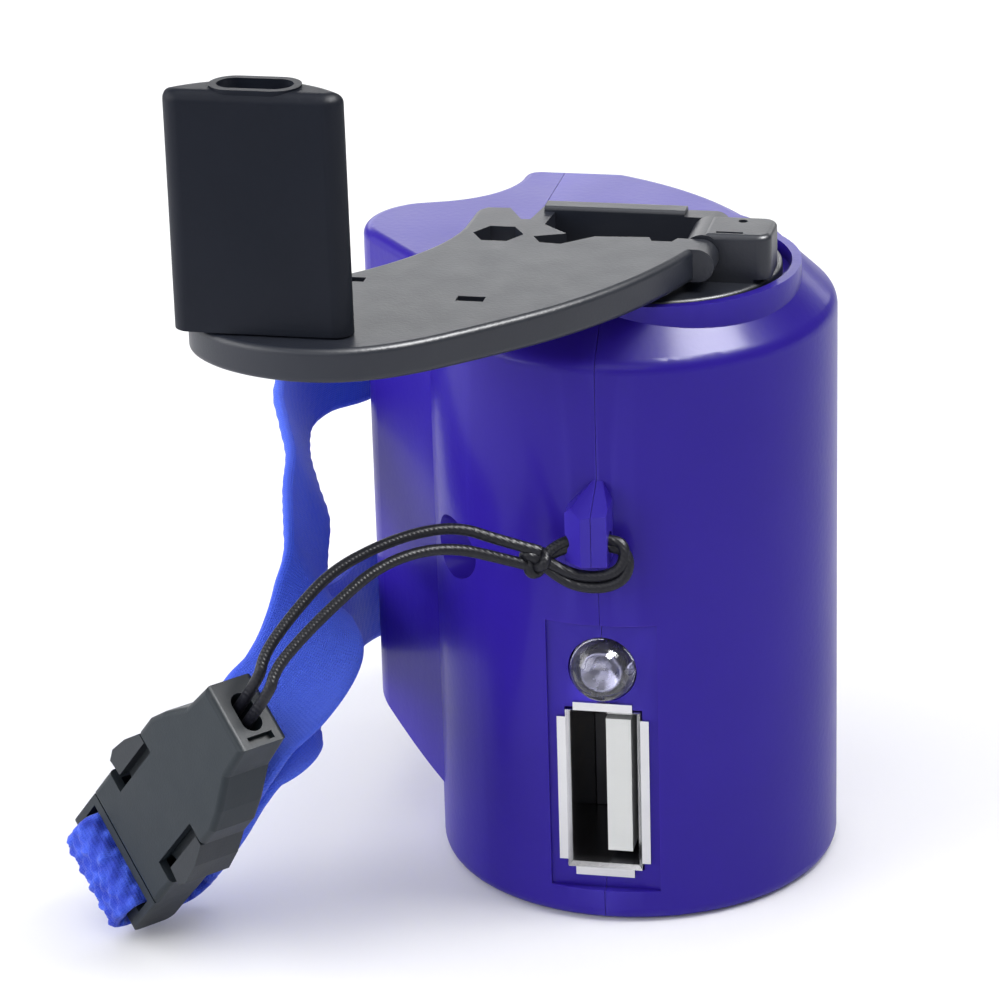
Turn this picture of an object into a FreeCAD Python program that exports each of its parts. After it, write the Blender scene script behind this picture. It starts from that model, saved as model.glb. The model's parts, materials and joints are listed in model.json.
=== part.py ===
"""Hand crank phone charger with a folding crank, a USB-A socket, a lamp and a wrist lanyard.

Frame: millimetres, +Z up. The origin is the centre of the base, on the axis of the round
barrel. The front, with the socket, faces -Y, and the case halves part on the plane x = 0.
"""
import math
import os

import FreeCAD
import Part

# ---------------------------------------------------------------- case
BARREL_R = 15.5          # radius of the round barrel
CASE_H = 48.5            # height of the flat top
WALL = 1.6               # moulded wall
FLOOR = 1.6              # thickness of the base
TOP_WALL = 3.1           # thickness of the top wall, which carries the crank's bush
BASE_ROUND = 1.1         # rounding of the bottom edge
SHOULDER_DROP = 3.5      # height of the sloping shoulder
SHOULDER_IN = 3.6        # how far the shoulder steps in
CREASE_ROUND = 1.6       # rounding of the crease under the shoulder
TOP_ROUND = 0.8          # rounding of the gear bay's top edge
BAY_UNDER_Z = 5.7        # where the bay's underside leaves the barrel
BAY_UNDER_SLOPE = 0.53   # rise of that underside for each millimetre outwards
PART_BACK_X = -8.6       # the parting plane steps to this x behind the crank
PART_STEP_Y = 8.5        # where it steps
SEAM = 0.04              # gap between the case halves
RECESS_R = 9.9           # round recess that the crank disc turns in
RECESS_D = 0.9
COLLAR_W = 0.7           # rim round that recess
COLLAR_UP = 0.2

# ---------------------------------------------------------------- front of the case
POCKET_W = 8.4           # flat pocket round the lamp and the socket
POCKET_Z0 = 2.6
POCKET_Z1 = 24.6
POCKET_Y = -14.7         # its floor
USB_W = 5.7              # outside of the receptacle's shell, across
USB_H = 13.1             # and upright
USB_Z = 10.85            # its centre
USB_LONG = 13.8
USB_SHEET = 0.3
FLANGE_W = 7.0
FLANGE_H = 14.4
LIP_SHORT = 0.3          # lips' ends from the corners of the opening
LIP_FLARE = 0.3
TONGUE_OFF = 0.6         # tongue from the shell's right wall
TONGUE_T = 1.9
TONGUE_H = 11.0
LED_R = 2.5
LED_Z = 20.7
LED_LONG = 8.6
LED_GAP = 0.1
LUG_X = (-2.1, 1.15)     # the lanyard lug on the parting line
LUG_RIDGE_X = -0.75
LUG_Y = -18.3
LUG_Z0 = 30.4
LUG_FRONT_Z = 34.2
LUG_APEX_Z = 36.2
LUG_HOLE_R = 0.8
LUG_HOLE_Y = -16.7
LUG_HOLE_Z = 31.9

# ---------------------------------------------------------------- screws of the case
SCREW_R = 1.0
SCREW_HEAD_R = 1.9
SCREW_HEAD_H = 1.3
SCREW_LONG = 12.0
HEAD_HOLE_R = 2.4
BOSS_R = 2.0
FRONT_SCREW_UP = 7.0     # front screw above the lamp's centre
LOW_SCREW_UP = 6.3       # low screw above the bay's lowest edge
BACK_SCREW_DROP = 18.5   # back screw below the top

# ---------------------------------------------------------------- gear train
MODULE = 0.5
PRESSURE = math.radians(20)
SHIFT = 0.4              # profile shift: + on each pinion and - on each wheel
BACKLASH = 0.06
CRANK_TEETH = 38
PINION_TEETH = 10
WHEEL_B_TEETH = 32
WHEEL_C_TEETH = 28
CRANK_X = 2.5            # axis of the crank
CRANK_Y = -2.0
DIR_B = 152.0            # directions from each axis to the next one, degrees
DIR_C = 2.0
DIR_MOTOR = 209.0
GEAR_CLEAR = 0.3         # between the ceiling and the top gears
PLATE_DROP = 10.2        # from the ceiling down to the gear plate's underside
PLATE_T = 1.6
PLATE_GAP = 0.25
PLATE_HOLD = 0.02        # between the plate and the ribs that hold it
AXLE_R = 0.75
RUN = 0.05               # radial clearance of a running fit
PRESS = 0.01             # radial clearance of a press fit
SPACER_R = 1.45

# ---------------------------------------------------------------- generator and board
CAN_GAP = 0.21           # generator's round side from the barrel's wall
CAN_FLAT = 5.5           # half the distance between its flats
CAP_T = 2.0
MOTOR_BOSS_R = 3.0
MOTOR_BOSS_H = 1.2
MOTOR_SCREW_OFF = 4.5
BOARD_X = -2.95          # right face of the circuit board
BOARD_T = 1.2
BOARD_BACK_Y = 6.0
BOARD_GAP = 0.07         # board's front edge from the barrel's wall
BOARD_UP = 0.15          # board above the floor
BOARD_DROP = 2.5         # board's top below the lamp's centre
CAP_UP = 1.0             # generator's cap above the board
COIL_IN = 5.196          # coil's axis from the board's front edge
COIL_UP = 6.25           # and above the board's foot
COIL_R = 2.2             # winding
COIL_RIM = 0.5           # flanges beyond the winding
COIL_LONG = 4.0          # over both flanges
COIL_FLANGE = 0.6

PINION_M_UP = (0.4, 2.8)  # faces of the gears above the gear plate
WHEEL_C_UP = (0.8, 2.7)
PINION_C_FACE = 2.7      # height of the third gear's pinion
WHEEL_B_UP = (3.4, 5.5)

# ---------------------------------------------------------------- crank
DISC_R = 9.2
DISC_T = 0.95
DISC_LOW = 0.1           # disc above the recess's floor
BUSH_R = 4.0
STEM_R = 2.5
SQUARE = 3.4             # across the flats of the stem's square end
STEM_BORE_DEEP = 4.2     # hole for the screw that holds the stem
STEM_SCREW_IN = 4.0      # and how far that screw goes in
MARK_X = (7.4, 9.4)      # moulded mark on top of the hinge block
BLOCK_X1 = 11.5          # outer end of the hinge block
BLOCK_Y = (-6.4, -1.9)
BLOCK_UP = 3.8           # block's top above the case
LIFT = 0.25              # what the block clears the rim by
PIN_X = 6.5              # fold hinge
PIN_R = 0.75
KNUCKLE_R = 1.5
EAR_GAP = 0.2
ARM_T = 2.5
ARM_UP = 1.0             # arm's underside above the case
ARM_ROUND = 0.45
RAIL_UP = 0.4
WINDOW_OUT = 4.0         # window's cut beyond the pin, which opens it outwards
FRONT_EAR_Y = -9.0
RAIL_BACK_Y = 0.0
EAR_SHUT = 1.1           # wall that closes the pin's hole in the front ear
KNOB_X = -20.4
KNOB_FRONT = -31.1
KNOB_PIN_Y = -29.1
KNOB_H = 17.3
KNOB_BASE = (12.8, 6.4)  # width and depth at the foot
KNOB_TOP = (12.7, 3.9)   # and at the top
KNOB_CORNER = 1.3
KNOB_ROUND = 0.8
KNOB_GAP = 0.15
HOLLOW_W = 5.4
HOLLOW_D = 2.4
HOLLOW_DEEP = 2.4
KNOB_SCREW_R = 0.95
KNOB_HEAD_R = 1.1

# ---------------------------------------------------------------- lanyard
CORD_D = 0.85
STRAP_W = 8.0
STRAP_T = 0.9
BUCKLE_AT = (-35.29, -23.73, 7.7)     # mouth of the buckle's socket, on its broad face
BUCKLE_U = (0.537, -0.386, 0.750)    # towards the cord
BUCKLE_W = (0.580, -0.477, -0.661)   # across
SOCKET_L = 20.0
SOCKET_W = 10.0
SOCKET_END_W = 5.6
BUCKLE_T = 4.2
PLUG_L = 5.0

CRANK_AT = (CRANK_X, CRANK_Y)
SHOULDER_Z = CASE_H - SHOULDER_DROP
CEILING_Z = CASE_H - TOP_WALL
# y, z and the x of the seat under the head of each screw
CASE_SCREWS = [(-9.4, LED_Z + FRONT_SCREW_UP, -7.0), (9.6, BAY_UNDER_Z + LOW_SCREW_UP, -12.0),
               (15.0, CASE_H - BACK_SCREW_DROP, -9.4)]
PLATE_Z0 = CEILING_Z - PLATE_DROP
PLATE_TOP = PLATE_Z0 + PLATE_T
PINION_M_Z = (PLATE_TOP + PINION_M_UP[0], PLATE_TOP + PINION_M_UP[1])
WHEEL_C_Z = (PLATE_TOP + WHEEL_C_UP[0], PLATE_TOP + WHEEL_C_UP[1])
PINION_C_TOP = WHEEL_C_Z[1] + PINION_C_FACE
WHEEL_B_Z = (PLATE_TOP + WHEEL_B_UP[0], PLATE_TOP + WHEEL_B_UP[1])
CRANK_GEAR_Z = (CEILING_Z - 2.5, CEILING_Z - GEAR_CLEAR)
PINION_B_TOP = CRANK_GEAR_Z[1]
BOARD_Z = (FLOOR + BOARD_UP, LED_Z - BOARD_DROP)
BOARD_Y = (BOARD_GAP - math.sqrt((BARREL_R - WALL) ** 2 - (BOARD_X - BOARD_T) ** 2), BOARD_BACK_Y)
CAN_Z0 = BOARD_Z[1] + CAP_UP + CAP_T
DISC_Z = (CASE_H - RECESS_D + DISC_LOW, CASE_H - RECESS_D + DISC_LOW + DISC_T)
BLOCK_TOP = CASE_H + BLOCK_UP
ARM_Z = CASE_H + ARM_UP
ARM_MID_Z = ARM_Z + ARM_T / 2
ARM_TOP = ARM_Z + ARM_T


def vec(x, y, z=0.0):
    return FreeCAD.Vector(x, y, z)


def cylinder(radius, z0, z1, at=(0.0, 0.0)):
    return Part.makeCylinder(radius, z1 - z0, vec(at[0], at[1], z0))


def rod_x(radius, x0, x1, y, z):
    return Part.makeCylinder(radius, x1 - x0, vec(x0, y, z), vec(1, 0, 0))


def rod_y(radius, y0, y1, x, z):
    return Part.makeCylinder(radius, y1 - y0, vec(x, y0, z), vec(0, 1, 0))


def box(x, y, z):
    """A block between pairs of limits."""
    return Part.makeBox(x[1] - x[0], y[1] - y[0], z[1] - z[0], vec(x[0], y[0], z[0]))


def prism(points, z0, z1):
    """A straight prism over a polygon in plan."""
    wire = Part.makePolygon([vec(x, y, z0) for x, y in points + points[:1]])
    return Part.Face(wire).extrude(vec(0, 0, z1 - z0))


def arc(a, b, c):
    return Part.Arc(vec(*a), vec(*b), vec(*c)).toShape()


def line(a, b):
    return Part.LineSegment(vec(*a), vec(*b)).toShape()


def outline(points):
    """A closed wire in the XZ plane; a point (x, z, radius) has its corner rounded."""
    edges = []
    ends = []
    for i, point in enumerate(points):
        corner = vec(point[0], 0, point[1])
        if len(point) < 3:
            ends.append((corner, corner))
            continue
        last, following = points[i - 1], points[(i + 1) % len(points)]
        come = (vec(last[0], 0, last[1]) - corner).normalize()
        go = (vec(following[0], 0, following[1]) - corner).normalize()
        half = come.getAngle(go) / 2
        reach = point[2] / math.tan(half)
        inward = (come + go).normalize()
        middle = corner + inward * (point[2] / math.sin(half) - point[2])
        first, second = corner + come * reach, corner + go * reach
        edges.append(Part.Arc(first, middle, second).toShape())
        ends.append((first, second))
    for here, there in zip(ends, ends[1:] + ends[:1]):
        edges.append(Part.LineSegment(here[1], there[0]).toShape())
    return Part.Wire(Part.__sortEdges__(edges))


def revolved(points):
    """A solid of revolution about Z from a profile of (radius, z) or (radius, z, rounding)."""
    solid = Part.Face(outline(points)).revolve(vec(0, 0, 0), vec(0, 0, 1), 360)
    solid.rotate(vec(0, 0, 0), vec(0, 0, 1), 55)
    return solid


def fused(shapes):
    return shapes[0].multiFuse(shapes[1:]).removeSplitter() if len(shapes) > 1 else shapes[0]


def edges_at(shape, z, tolerance=0.01):
    """The edges that lie wholly at one height."""
    return [e for e in shape.Edges
            if abs(e.BoundBox.ZMin - z) < tolerance and abs(e.BoundBox.ZMax - z) < tolerance]


def polar(at, degrees, distance):
    angle = math.radians(degrees)
    return (at[0] + distance * math.cos(angle), at[1] + distance * math.sin(angle))


def export(name, shape):
    """Writes one node and says what it holds."""
    solids = shape.Solids
    body = solids[0] if len(solids) == 1 else Part.makeCompound(solids)
    body.exportStep("parts/" + name + ".step")
    print("%-20s solids %2d valid %s volume %9.2f" % (name, len(solids), shape.isValid(), shape.Volume))
    return body


# ---------------------------------------------------------------- gears
def mesh_distance(teeth_a, teeth_b):
    return MODULE * (teeth_a + teeth_b) / 2


def gear(teeth, shift, z0, z1, at, phase):
    """A spur gear with involute flanks; phase is the direction of one tooth, degrees."""
    pitch = MODULE * teeth / 2
    base = pitch * math.cos(PRESSURE)
    tip = pitch + MODULE * (1 + shift) - 0.1
    root = pitch - MODULE * (1.25 - shift)
    involute = math.tan(PRESSURE) - PRESSURE
    half = (MODULE * (math.pi / 2 + 2 * shift * math.tan(PRESSURE)) - BACKLASH) / (2 * pitch)
    start = max(base, root)
    flank = []
    for step in range(4):
        radius = start + (tip - start) * step / 3
        slant = math.acos(min(1.0, base / radius))
        flank.append((radius, half + involute - (math.tan(slant) - slant)))
    if root < base:
        flank.insert(0, (root, flank[0][1]))
    points = []
    for tooth in range(teeth):
        middle = math.radians(phase) + 2 * math.pi * tooth / teeth
        for radius, angle in flank:
            points.append((at[0] + radius * math.cos(middle - angle),
                           at[1] + radius * math.sin(middle - angle)))
        for radius, angle in reversed(flank):
            points.append((at[0] + radius * math.cos(middle + angle),
                           at[1] + radius * math.sin(middle + angle)))
    return prism(points, z0, z1)


AXIS_B = polar(CRANK_AT, DIR_B, mesh_distance(CRANK_TEETH, PINION_TEETH))
AXIS_C = polar(AXIS_B, DIR_C, mesh_distance(WHEEL_B_TEETH, PINION_TEETH))
AXIS_M = polar(AXIS_C, DIR_MOTOR, mesh_distance(WHEEL_C_TEETH, PINION_TEETH))
CAN_R = BARREL_R - WALL - math.hypot(*AXIS_M) - CAN_GAP      # round sides of the generator's can


def wheel(teeth, limits, at, direction):
    """A wheel with a tooth centred towards the next axis."""
    return gear(teeth, -SHIFT, limits[0], limits[1], at, direction)


def pinion(limits, at, direction):
    """A pinion with a gap centred towards the wheel that drives it, from that direction."""
    return gear(PINION_TEETH, SHIFT, limits[0], limits[1], at, direction + 180 + 180 / PINION_TEETH)


# ---------------------------------------------------------------- case
def bay_wire():
    """Plan of the gear bay behind the barrel and of its thumb rest on the left."""
    start, shut = (7.6, 9.6), (-5.0, -9.0)
    return Part.Wire([
        arc(start, (2.8, 14.9), (-4.0, 19.2)),
        line((-4.0, 19.2), (-10.6, 19.2)),
        arc((-10.6, 19.2), (-11.519, 18.819), (-11.9, 17.9)),
        arc((-11.9, 17.9), (-13.187, 13.726), (-16.6, 11.0)),
        line((-16.6, 11.0), (-18.9, 10.2)),
        arc((-18.9, 10.2), (-21.8, 5.9), (-20.7, 2.1)),
        line((-20.7, 2.1), (-14.6, -5.2)),
        line((-14.6, -5.2), shut),
        line(shut, start),
    ])


def bay(inset, z_top, extra_under):
    """The bay as a solid, drawn in by inset all round, with its sloping underside."""
    wire = bay_wire()
    if inset:
        wire = wire.makeOffset2D(-inset)
    solid = Part.Face(wire).extrude(vec(0, 0, CASE_H + 10))
    low = BAY_UNDER_Z + extra_under
    reach = 40.0
    keep = revolved([(0, low), (BARREL_R - inset, low),
                     (reach, low + BAY_UNDER_SLOPE * (reach - BARREL_R + inset)),
                     (reach, z_top), (0, z_top)])
    return solid.common(keep)


def outer_case():
    core = revolved([(0, 0), (BARREL_R, 0, BASE_ROUND), (BARREL_R, SHOULDER_Z, CREASE_ROUND),
                     (BARREL_R - SHOULDER_IN, CASE_H), (0, CASE_H)])
    wing = bay(0, CASE_H, 0)
    wing = wing.makeFillet(TOP_ROUND, edges_at(wing, CASE_H))
    collar = cylinder(RECESS_R + COLLAR_W, SHOULDER_Z, CASE_H + COLLAR_UP, CRANK_AT)
    reach = cylinder(BARREL_R - 1.2, 0, CASE_H + 2)
    scoop = Part.makeSphere(7.0, vec(-23.3, -7.6, 14.5))
    inside = BARREL_R - WALL / 2
    low, high = LUG_X
    lug = prism([(low, -inside), (low, LUG_Y + 1.1), (LUG_RIDGE_X, LUG_Y), (high, LUG_Y + 0.3),
                 (high, -inside)], LUG_Z0, LUG_APEX_Z)
    roof = (LUG_APEX_Z - LUG_FRONT_Z) / (abs(LUG_Y) - BARREL_R)
    side = prism([(LUG_Y - 1, LUG_Z0 - 1), (LUG_Y - 1, LUG_FRONT_Z - roof), (-BARREL_R, LUG_APEX_Z),
                  (-inside, LUG_APEX_Z), (-inside, LUG_Z0 - 1)], low - 1, high + 1)
    side.transformShape(FreeCAD.Matrix(0, 0, 1, 0, 1, 0, 0, 0, 0, 1, 0, 0, 0, 0, 0, 1))
    front = prism([(low, LUG_Z0), (high, LUG_Z0), (high, LUG_FRONT_Z + 0.6), (LUG_RIDGE_X + 1.2, LUG_APEX_Z),
                   (LUG_RIDGE_X + 0.5, LUG_APEX_Z), (low, LUG_FRONT_Z)], inside, abs(LUG_Y) + 1)
    front.rotate(vec(0, 0, 0), vec(1, 0, 0), 90)
    lug = lug.common(side).common(front)
    whole = fused([core, wing.cut(scoop), collar.common(reach), lug])
    return whole.cut(rod_x(LUG_HOLE_R, -4, 4, LUG_HOLE_Y, LUG_HOLE_Z))


def cavity():
    return fused([cylinder(BARREL_R - WALL, FLOOR, CEILING_Z), bay(WALL, CEILING_Z, WALL)])


def plate_blank(gap, z0, z1):
    """The inside outline of the case, drawn in by gap."""
    wing = Part.Face(bay_wire().makeOffset2D(-WALL - gap)).extrude(vec(0, 0, z1 - z0))
    wing.translate(vec(0, 0, z0))
    return fused([cylinder(BARREL_R - WALL - gap, z0, z1), wing])


def brackets():
    """Short ribs inside the wall that hold the gear plate from below and above."""
    ribs = []
    inside = cylinder(BARREL_R - WALL / 2, 0, CASE_H)
    for degrees in (-80, 0, 222):
        for z0, z1 in ((PLATE_Z0 - 2.4, PLATE_Z0 - PLATE_HOLD), (PLATE_TOP + PLATE_HOLD, PLATE_TOP + 1.4)):
            rib = box((BARREL_R - WALL - 1.5, BARREL_R), (-1.5, 1.5), (z0, z1))
            rib.rotate(vec(0, 0, 0), vec(0, 0, 1), degrees)
            ribs.append(rib.common(inside))
    return ribs


def bosses(outer):
    found = []
    for y, z, seat in CASE_SCREWS:
        found.append(rod_x(HEAD_HOLE_R + 0.5, -25, seat + 1.2, y, z).common(outer))
        found.append(rod_x(BOSS_R, seat, BARREL_R, y, z).common(outer))
    return found


def left_zone(gap):
    """Plan of the left case half as a tall block."""
    return prism([(-60, -60), (-gap, -60), (-gap, PART_STEP_Y - gap),
                  (PART_BACK_X - gap, PART_STEP_Y - gap), (PART_BACK_X - gap, 60), (-60, 60)], -5, 2 * CASE_H)


def case_halves():
    outer = outer_case()
    shell = outer.cut(cavity())
    rails = [box((BOARD_X - BOARD_T - 1.3, BOARD_X - BOARD_T - 0.1), (0.5, 5.5), (FLOOR - 0.2, 3.6)),
             box((BOARD_X + 0.1, BOARD_X + 1.3), (0.5, 5.5), (FLOOR - 0.2, 3.6))]
    body = fused([shell] + brackets() + bosses(outer) + rails)
    cuts = [
        cylinder(RECESS_R, CASE_H - RECESS_D, CASE_H + 5, CRANK_AT),
        cylinder(BUSH_R + PRESS, CEILING_Z - 1, CASE_H, CRANK_AT),
        cylinder(AXLE_R + PRESS, CEILING_Z - 1, CEILING_Z + 1.2, AXIS_B),
        box((-POCKET_W / 2, POCKET_W / 2), (-20, POCKET_Y), (POCKET_Z0, POCKET_Z1)),
        box((-USB_W / 2 - 0.1, USB_W / 2 + 0.1), (-20, -10),
            (USB_Z - USB_H / 2 - 0.1, USB_Z + USB_H / 2 + 0.1)),
        rod_y(LED_R + LED_GAP, -20, -10, 0, LED_Z),
    ]
    for y, z, seat in CASE_SCREWS:
        parting = PART_BACK_X if y > PART_STEP_Y else 0.0
        cuts.append(rod_x(HEAD_HOLE_R, -30, seat, y, z))
        cuts.append(rod_x(SCREW_R + 0.2, seat - 1, parting, y, z))
        cuts.append(rod_x(SCREW_R + PRESS, parting, seat + SCREW_LONG + 0.4, y, z))
    for cut in cuts:
        body = body.cut(cut)
    block = box((-60, 60), (-60, 60), (-5, 2 * CASE_H))
    left = body.common(left_zone(SEAM / 2))
    right = body.common(block.cut(left_zone(-SEAM / 2)))
    return left, right


def case_screws():
    found = []
    for y, z, seat in CASE_SCREWS:
        head = rod_x(SCREW_HEAD_R, seat - SCREW_HEAD_H, seat, y, z)
        head = head.makeFillet(0.35, [e for e in head.Edges if abs(e.BoundBox.XMax - seat + SCREW_HEAD_H) < 0.01])
        shank = rod_x(SCREW_R, seat, seat + SCREW_LONG, y, z)
        drive = []
        for size in ((1.1, 0.22), (0.22, 1.1)):
            drive.append(box((seat - SCREW_HEAD_H - 1, seat - SCREW_HEAD_H + 0.6),
                             (y - size[0], y + size[0]), (z - size[1], z + size[1])))
        found.append(fused([head, shank]).cut(fused(drive)))
    return found


# ---------------------------------------------------------------- generator, plate and gears
def gear_plate():
    plate = plate_blank(PLATE_GAP, PLATE_Z0, PLATE_Z0 + PLATE_T)
    top = PLATE_Z0 + PLATE_T
    plate = fused([plate, cylinder(SPACER_R, top - 0.2, WHEEL_B_Z[0] - 0.1, AXIS_B),
                   cylinder(SPACER_R, top - 0.2, WHEEL_C_Z[0] - 0.1, AXIS_C)])
    plate = plate.cut(cylinder(MOTOR_BOSS_R + 0.1, PLATE_Z0 - 1, top + 1, AXIS_M))
    for at in (AXIS_B, AXIS_C):
        plate = plate.cut(cylinder(AXLE_R + PRESS, PLATE_Z0 + 0.3, WHEEL_B_Z[0], at))
    for side in (-1, 1):
        at = (AXIS_M[0] + side * MOTOR_SCREW_OFF, AXIS_M[1])
        plate = plate.cut(cylinder(0.85, PLATE_Z0 - 1, top + 1, at))
    return plate


def can_blank(radius, flat, z0, z1):
    """A round can with two flats, facing front and back."""
    across = box((AXIS_M[0] - radius - 1, AXIS_M[0] + radius + 1),
                 (AXIS_M[1] - flat, AXIS_M[1] + flat), (z0, z1))
    return cylinder(radius, z0, z1, AXIS_M).common(across)


def generator():
    can = can_blank(CAN_R, CAN_FLAT, CAN_Z0, PLATE_Z0)
    can = can.makeFillet(0.8, edges_at(can, PLATE_Z0))
    can = fused([can, cylinder(MOTOR_BOSS_R, PLATE_Z0 - 0.5, PLATE_Z0 + MOTOR_BOSS_H, AXIS_M)])
    can = can.cut(can_blank(CAN_R - 0.7, CAN_FLAT - 0.7, CAN_Z0 - 1, PLATE_Z0 - 1.2))
    can = can.cut(cylinder(AXLE_R + RUN, CAN_Z0, PLATE_Z0 + 5, AXIS_M))
    for side in (-1, 1):
        at = (AXIS_M[0] + side * MOTOR_SCREW_OFF, AXIS_M[1])
        can = can.cut(cylinder(0.8, PLATE_Z0 - 3, PLATE_Z0 + 1, at))
    cap = fused([can_blank(CAN_R, CAN_FLAT, CAN_Z0 - CAP_T, CAN_Z0),
                 can_blank(CAN_R - 0.75, CAN_FLAT - 0.75, CAN_Z0 - 0.5, CAN_Z0 + 1.2)])
    cap = cap.cut(cylinder(AXLE_R + RUN, CAN_Z0 - 1.4, CAN_Z0 + 3, AXIS_M))
    for side in (-1, 1):
        cap = cap.cut(box((AXIS_M[0] + side * 4.5 - 0.65, AXIS_M[0] + side * 4.5 + 0.65),
                          (AXIS_M[1] - 0.3, AXIS_M[1] + 0.3), (CAN_Z0 - 5, CAN_Z0 + 3)))
    tabs = []
    for side in (-1, 1):
        tabs.append(box((AXIS_M[0] + side * 4.5 - 0.6, AXIS_M[0] + side * 4.5 + 0.6),
                        (AXIS_M[1] - 0.25, AXIS_M[1] + 0.25), (CAN_Z0 - CAP_T - 1.4, CAN_Z0 + 1.0)))
    rotor = fused([cylinder(AXLE_R, CAN_Z0 - 1.3, PINION_M_Z[1], AXIS_M),
                   cylinder(4.6, CAN_Z0 + 2.4, PLATE_Z0 - 2.4, AXIS_M)])
    screws = []
    for side in (-1, 1):
        at = (AXIS_M[0] + side * MOTOR_SCREW_OFF, AXIS_M[1])
        top = PLATE_Z0 + PLATE_T
        screws.append(fused([cylinder(0.79, PLATE_Z0 - 2.0, top, at), cylinder(1.25, top, top + 0.6, at)]))
    return can, cap, tabs, rotor, screws


def gear_train():
    crank = wheel(CRANK_TEETH, CRANK_GEAR_Z, CRANK_AT, DIR_B)
    half = SQUARE / 2 + 0.03
    socket = box((CRANK_X - half, CRANK_X + half), (CRANK_Y - half, CRANK_Y + half), (PLATE_TOP, CASE_H))
    crank = crank.cut(socket)
    for spoke in range(6):
        at = polar(CRANK_AT, 60 * spoke + 30, 5.9)
        crank = crank.cut(cylinder(1.9, PLATE_TOP, CASE_H, at))
    gear_b = fused([wheel(WHEEL_B_TEETH, WHEEL_B_Z, AXIS_B, DIR_C),
                    pinion((WHEEL_B_Z[1], PINION_B_TOP), AXIS_B, DIR_B)])
    gear_b = gear_b.cut(cylinder(AXLE_R + RUN, PLATE_Z0, CASE_H, AXIS_B))
    gear_c = fused([wheel(WHEEL_C_TEETH, WHEEL_C_Z, AXIS_C, DIR_MOTOR),
                    pinion((WHEEL_C_Z[1], PINION_C_TOP), AXIS_C, DIR_C)])
    gear_c = gear_c.cut(cylinder(AXLE_R + RUN, PLATE_Z0, CASE_H, AXIS_C))
    motor_pinion = pinion(PINION_M_Z, AXIS_M, DIR_MOTOR)
    motor_pinion = motor_pinion.cut(cylinder(AXLE_R + PRESS, PLATE_Z0, CASE_H, AXIS_M))
    axle_b = cylinder(AXLE_R, PLATE_Z0 + 0.35, CEILING_Z + 1.1, AXIS_B)
    axle_c = cylinder(AXLE_R, PLATE_Z0 + 0.35, PINION_C_TOP + 0.3, AXIS_C)
    return crank, gear_b, gear_c, motor_pinion, axle_b, axle_c


# ---------------------------------------------------------------- crank
def crank_hub():
    disc = cylinder(DISC_R, DISC_Z[0], DISC_Z[1], CRANK_AT)
    disc = disc.makeFillet(0.3, edges_at(disc, DISC_Z[1]))
    stem = cylinder(STEM_R, CRANK_GEAR_Z[1] + 0.02, DISC_Z[0], CRANK_AT)
    half = SQUARE / 2
    square = box((CRANK_X - half, CRANK_X + half), (CRANK_Y - half, CRANK_Y + half),
                 (CRANK_GEAR_Z[0], CRANK_GEAR_Z[1] + 0.5))
    block = box((PIN_X, BLOCK_X1), BLOCK_Y, (DISC_Z[1] - 0.3, BLOCK_TOP))
    block = block.makeFillet(1.0, [e for e in block.Edges if e.BoundBox.XMin > BLOCK_X1 - 0.01
                                   and e.BoundBox.ZLength > 2])
    block = block.makeFillet(0.4, edges_at(block, BLOCK_TOP))
    knuckle = rod_y(KNUCKLE_R, BLOCK_Y[0], BLOCK_Y[1], PIN_X, ARM_MID_Z)
    foot = box((PIN_X - KNUCKLE_R, PIN_X + 1), BLOCK_Y, (DISC_Z[1] - 0.3, ARM_MID_Z))
    over = cylinder(30, DISC_Z[0], CASE_H + COLLAR_UP + LIFT, CRANK_AT)
    block = block.cut(over.cut(cylinder(DISC_R - 0.3, DISC_Z[0] - 1, BLOCK_TOP, CRANK_AT)))
    hub = fused([disc, stem, square, block, knuckle, foot])
    hub = hub.cut(rod_y(PIN_R + PRESS, BLOCK_Y[0] - 1, BLOCK_Y[1] + 1, PIN_X, ARM_MID_Z))
    hub = hub.cut(cylinder(0.8, CRANK_GEAR_Z[0] - 1, CRANK_GEAR_Z[0] + STEM_BORE_DEEP, CRANK_AT))
    hub = hub.cut(cylinder(0.35, BLOCK_TOP - 0.6, BLOCK_TOP + 1, (9.0, BLOCK_Y[1] - 1.1)))
    return hub.cut(box(MARK_X, (BLOCK_Y[0] + 0.5, BLOCK_Y[0] + 0.85), (BLOCK_TOP - 0.5, BLOCK_TOP + 1)))


def arm_outline(z):
    """Plan of the crank arm: a teardrop with a hooked ear and a rail behind its window."""
    front = Part.BSplineCurve()
    front.interpolate([vec(*p, z) for p in (
        (6.2, FRONT_EAR_Y), (3.5, -15.4), (-1.0, -22.2), (-6.4, -27.8), (-10.9, -31.5), (-15.6, -33.2),
        (-20.4, -32.7), (-24.7, -30.3), (-26.8, -26.6), (-25.5, -23.0), (-21.4, -19.9),
        (-17.4, -16.8), (-14.4, -13.2), (-12.4, -9.4), (-11.5, -5.6))])
    corners = [(-11.5, -5.6), (-11.4, -2.2), (-10.6, -1.2), (-8.9, -1.1), (-7.6, -3.6), (-6.9, -3.6),
               (-6.4, RAIL_BACK_Y), (PIN_X, RAIL_BACK_Y), (PIN_X, FRONT_EAR_Y), (6.2, FRONT_EAR_Y)]
    sides = [Part.LineSegment(vec(*a, z), vec(*b, z)).toShape() for a, b in zip(corners, corners[1:])]
    return Part.Wire([front.toShape()] + sides)


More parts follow.
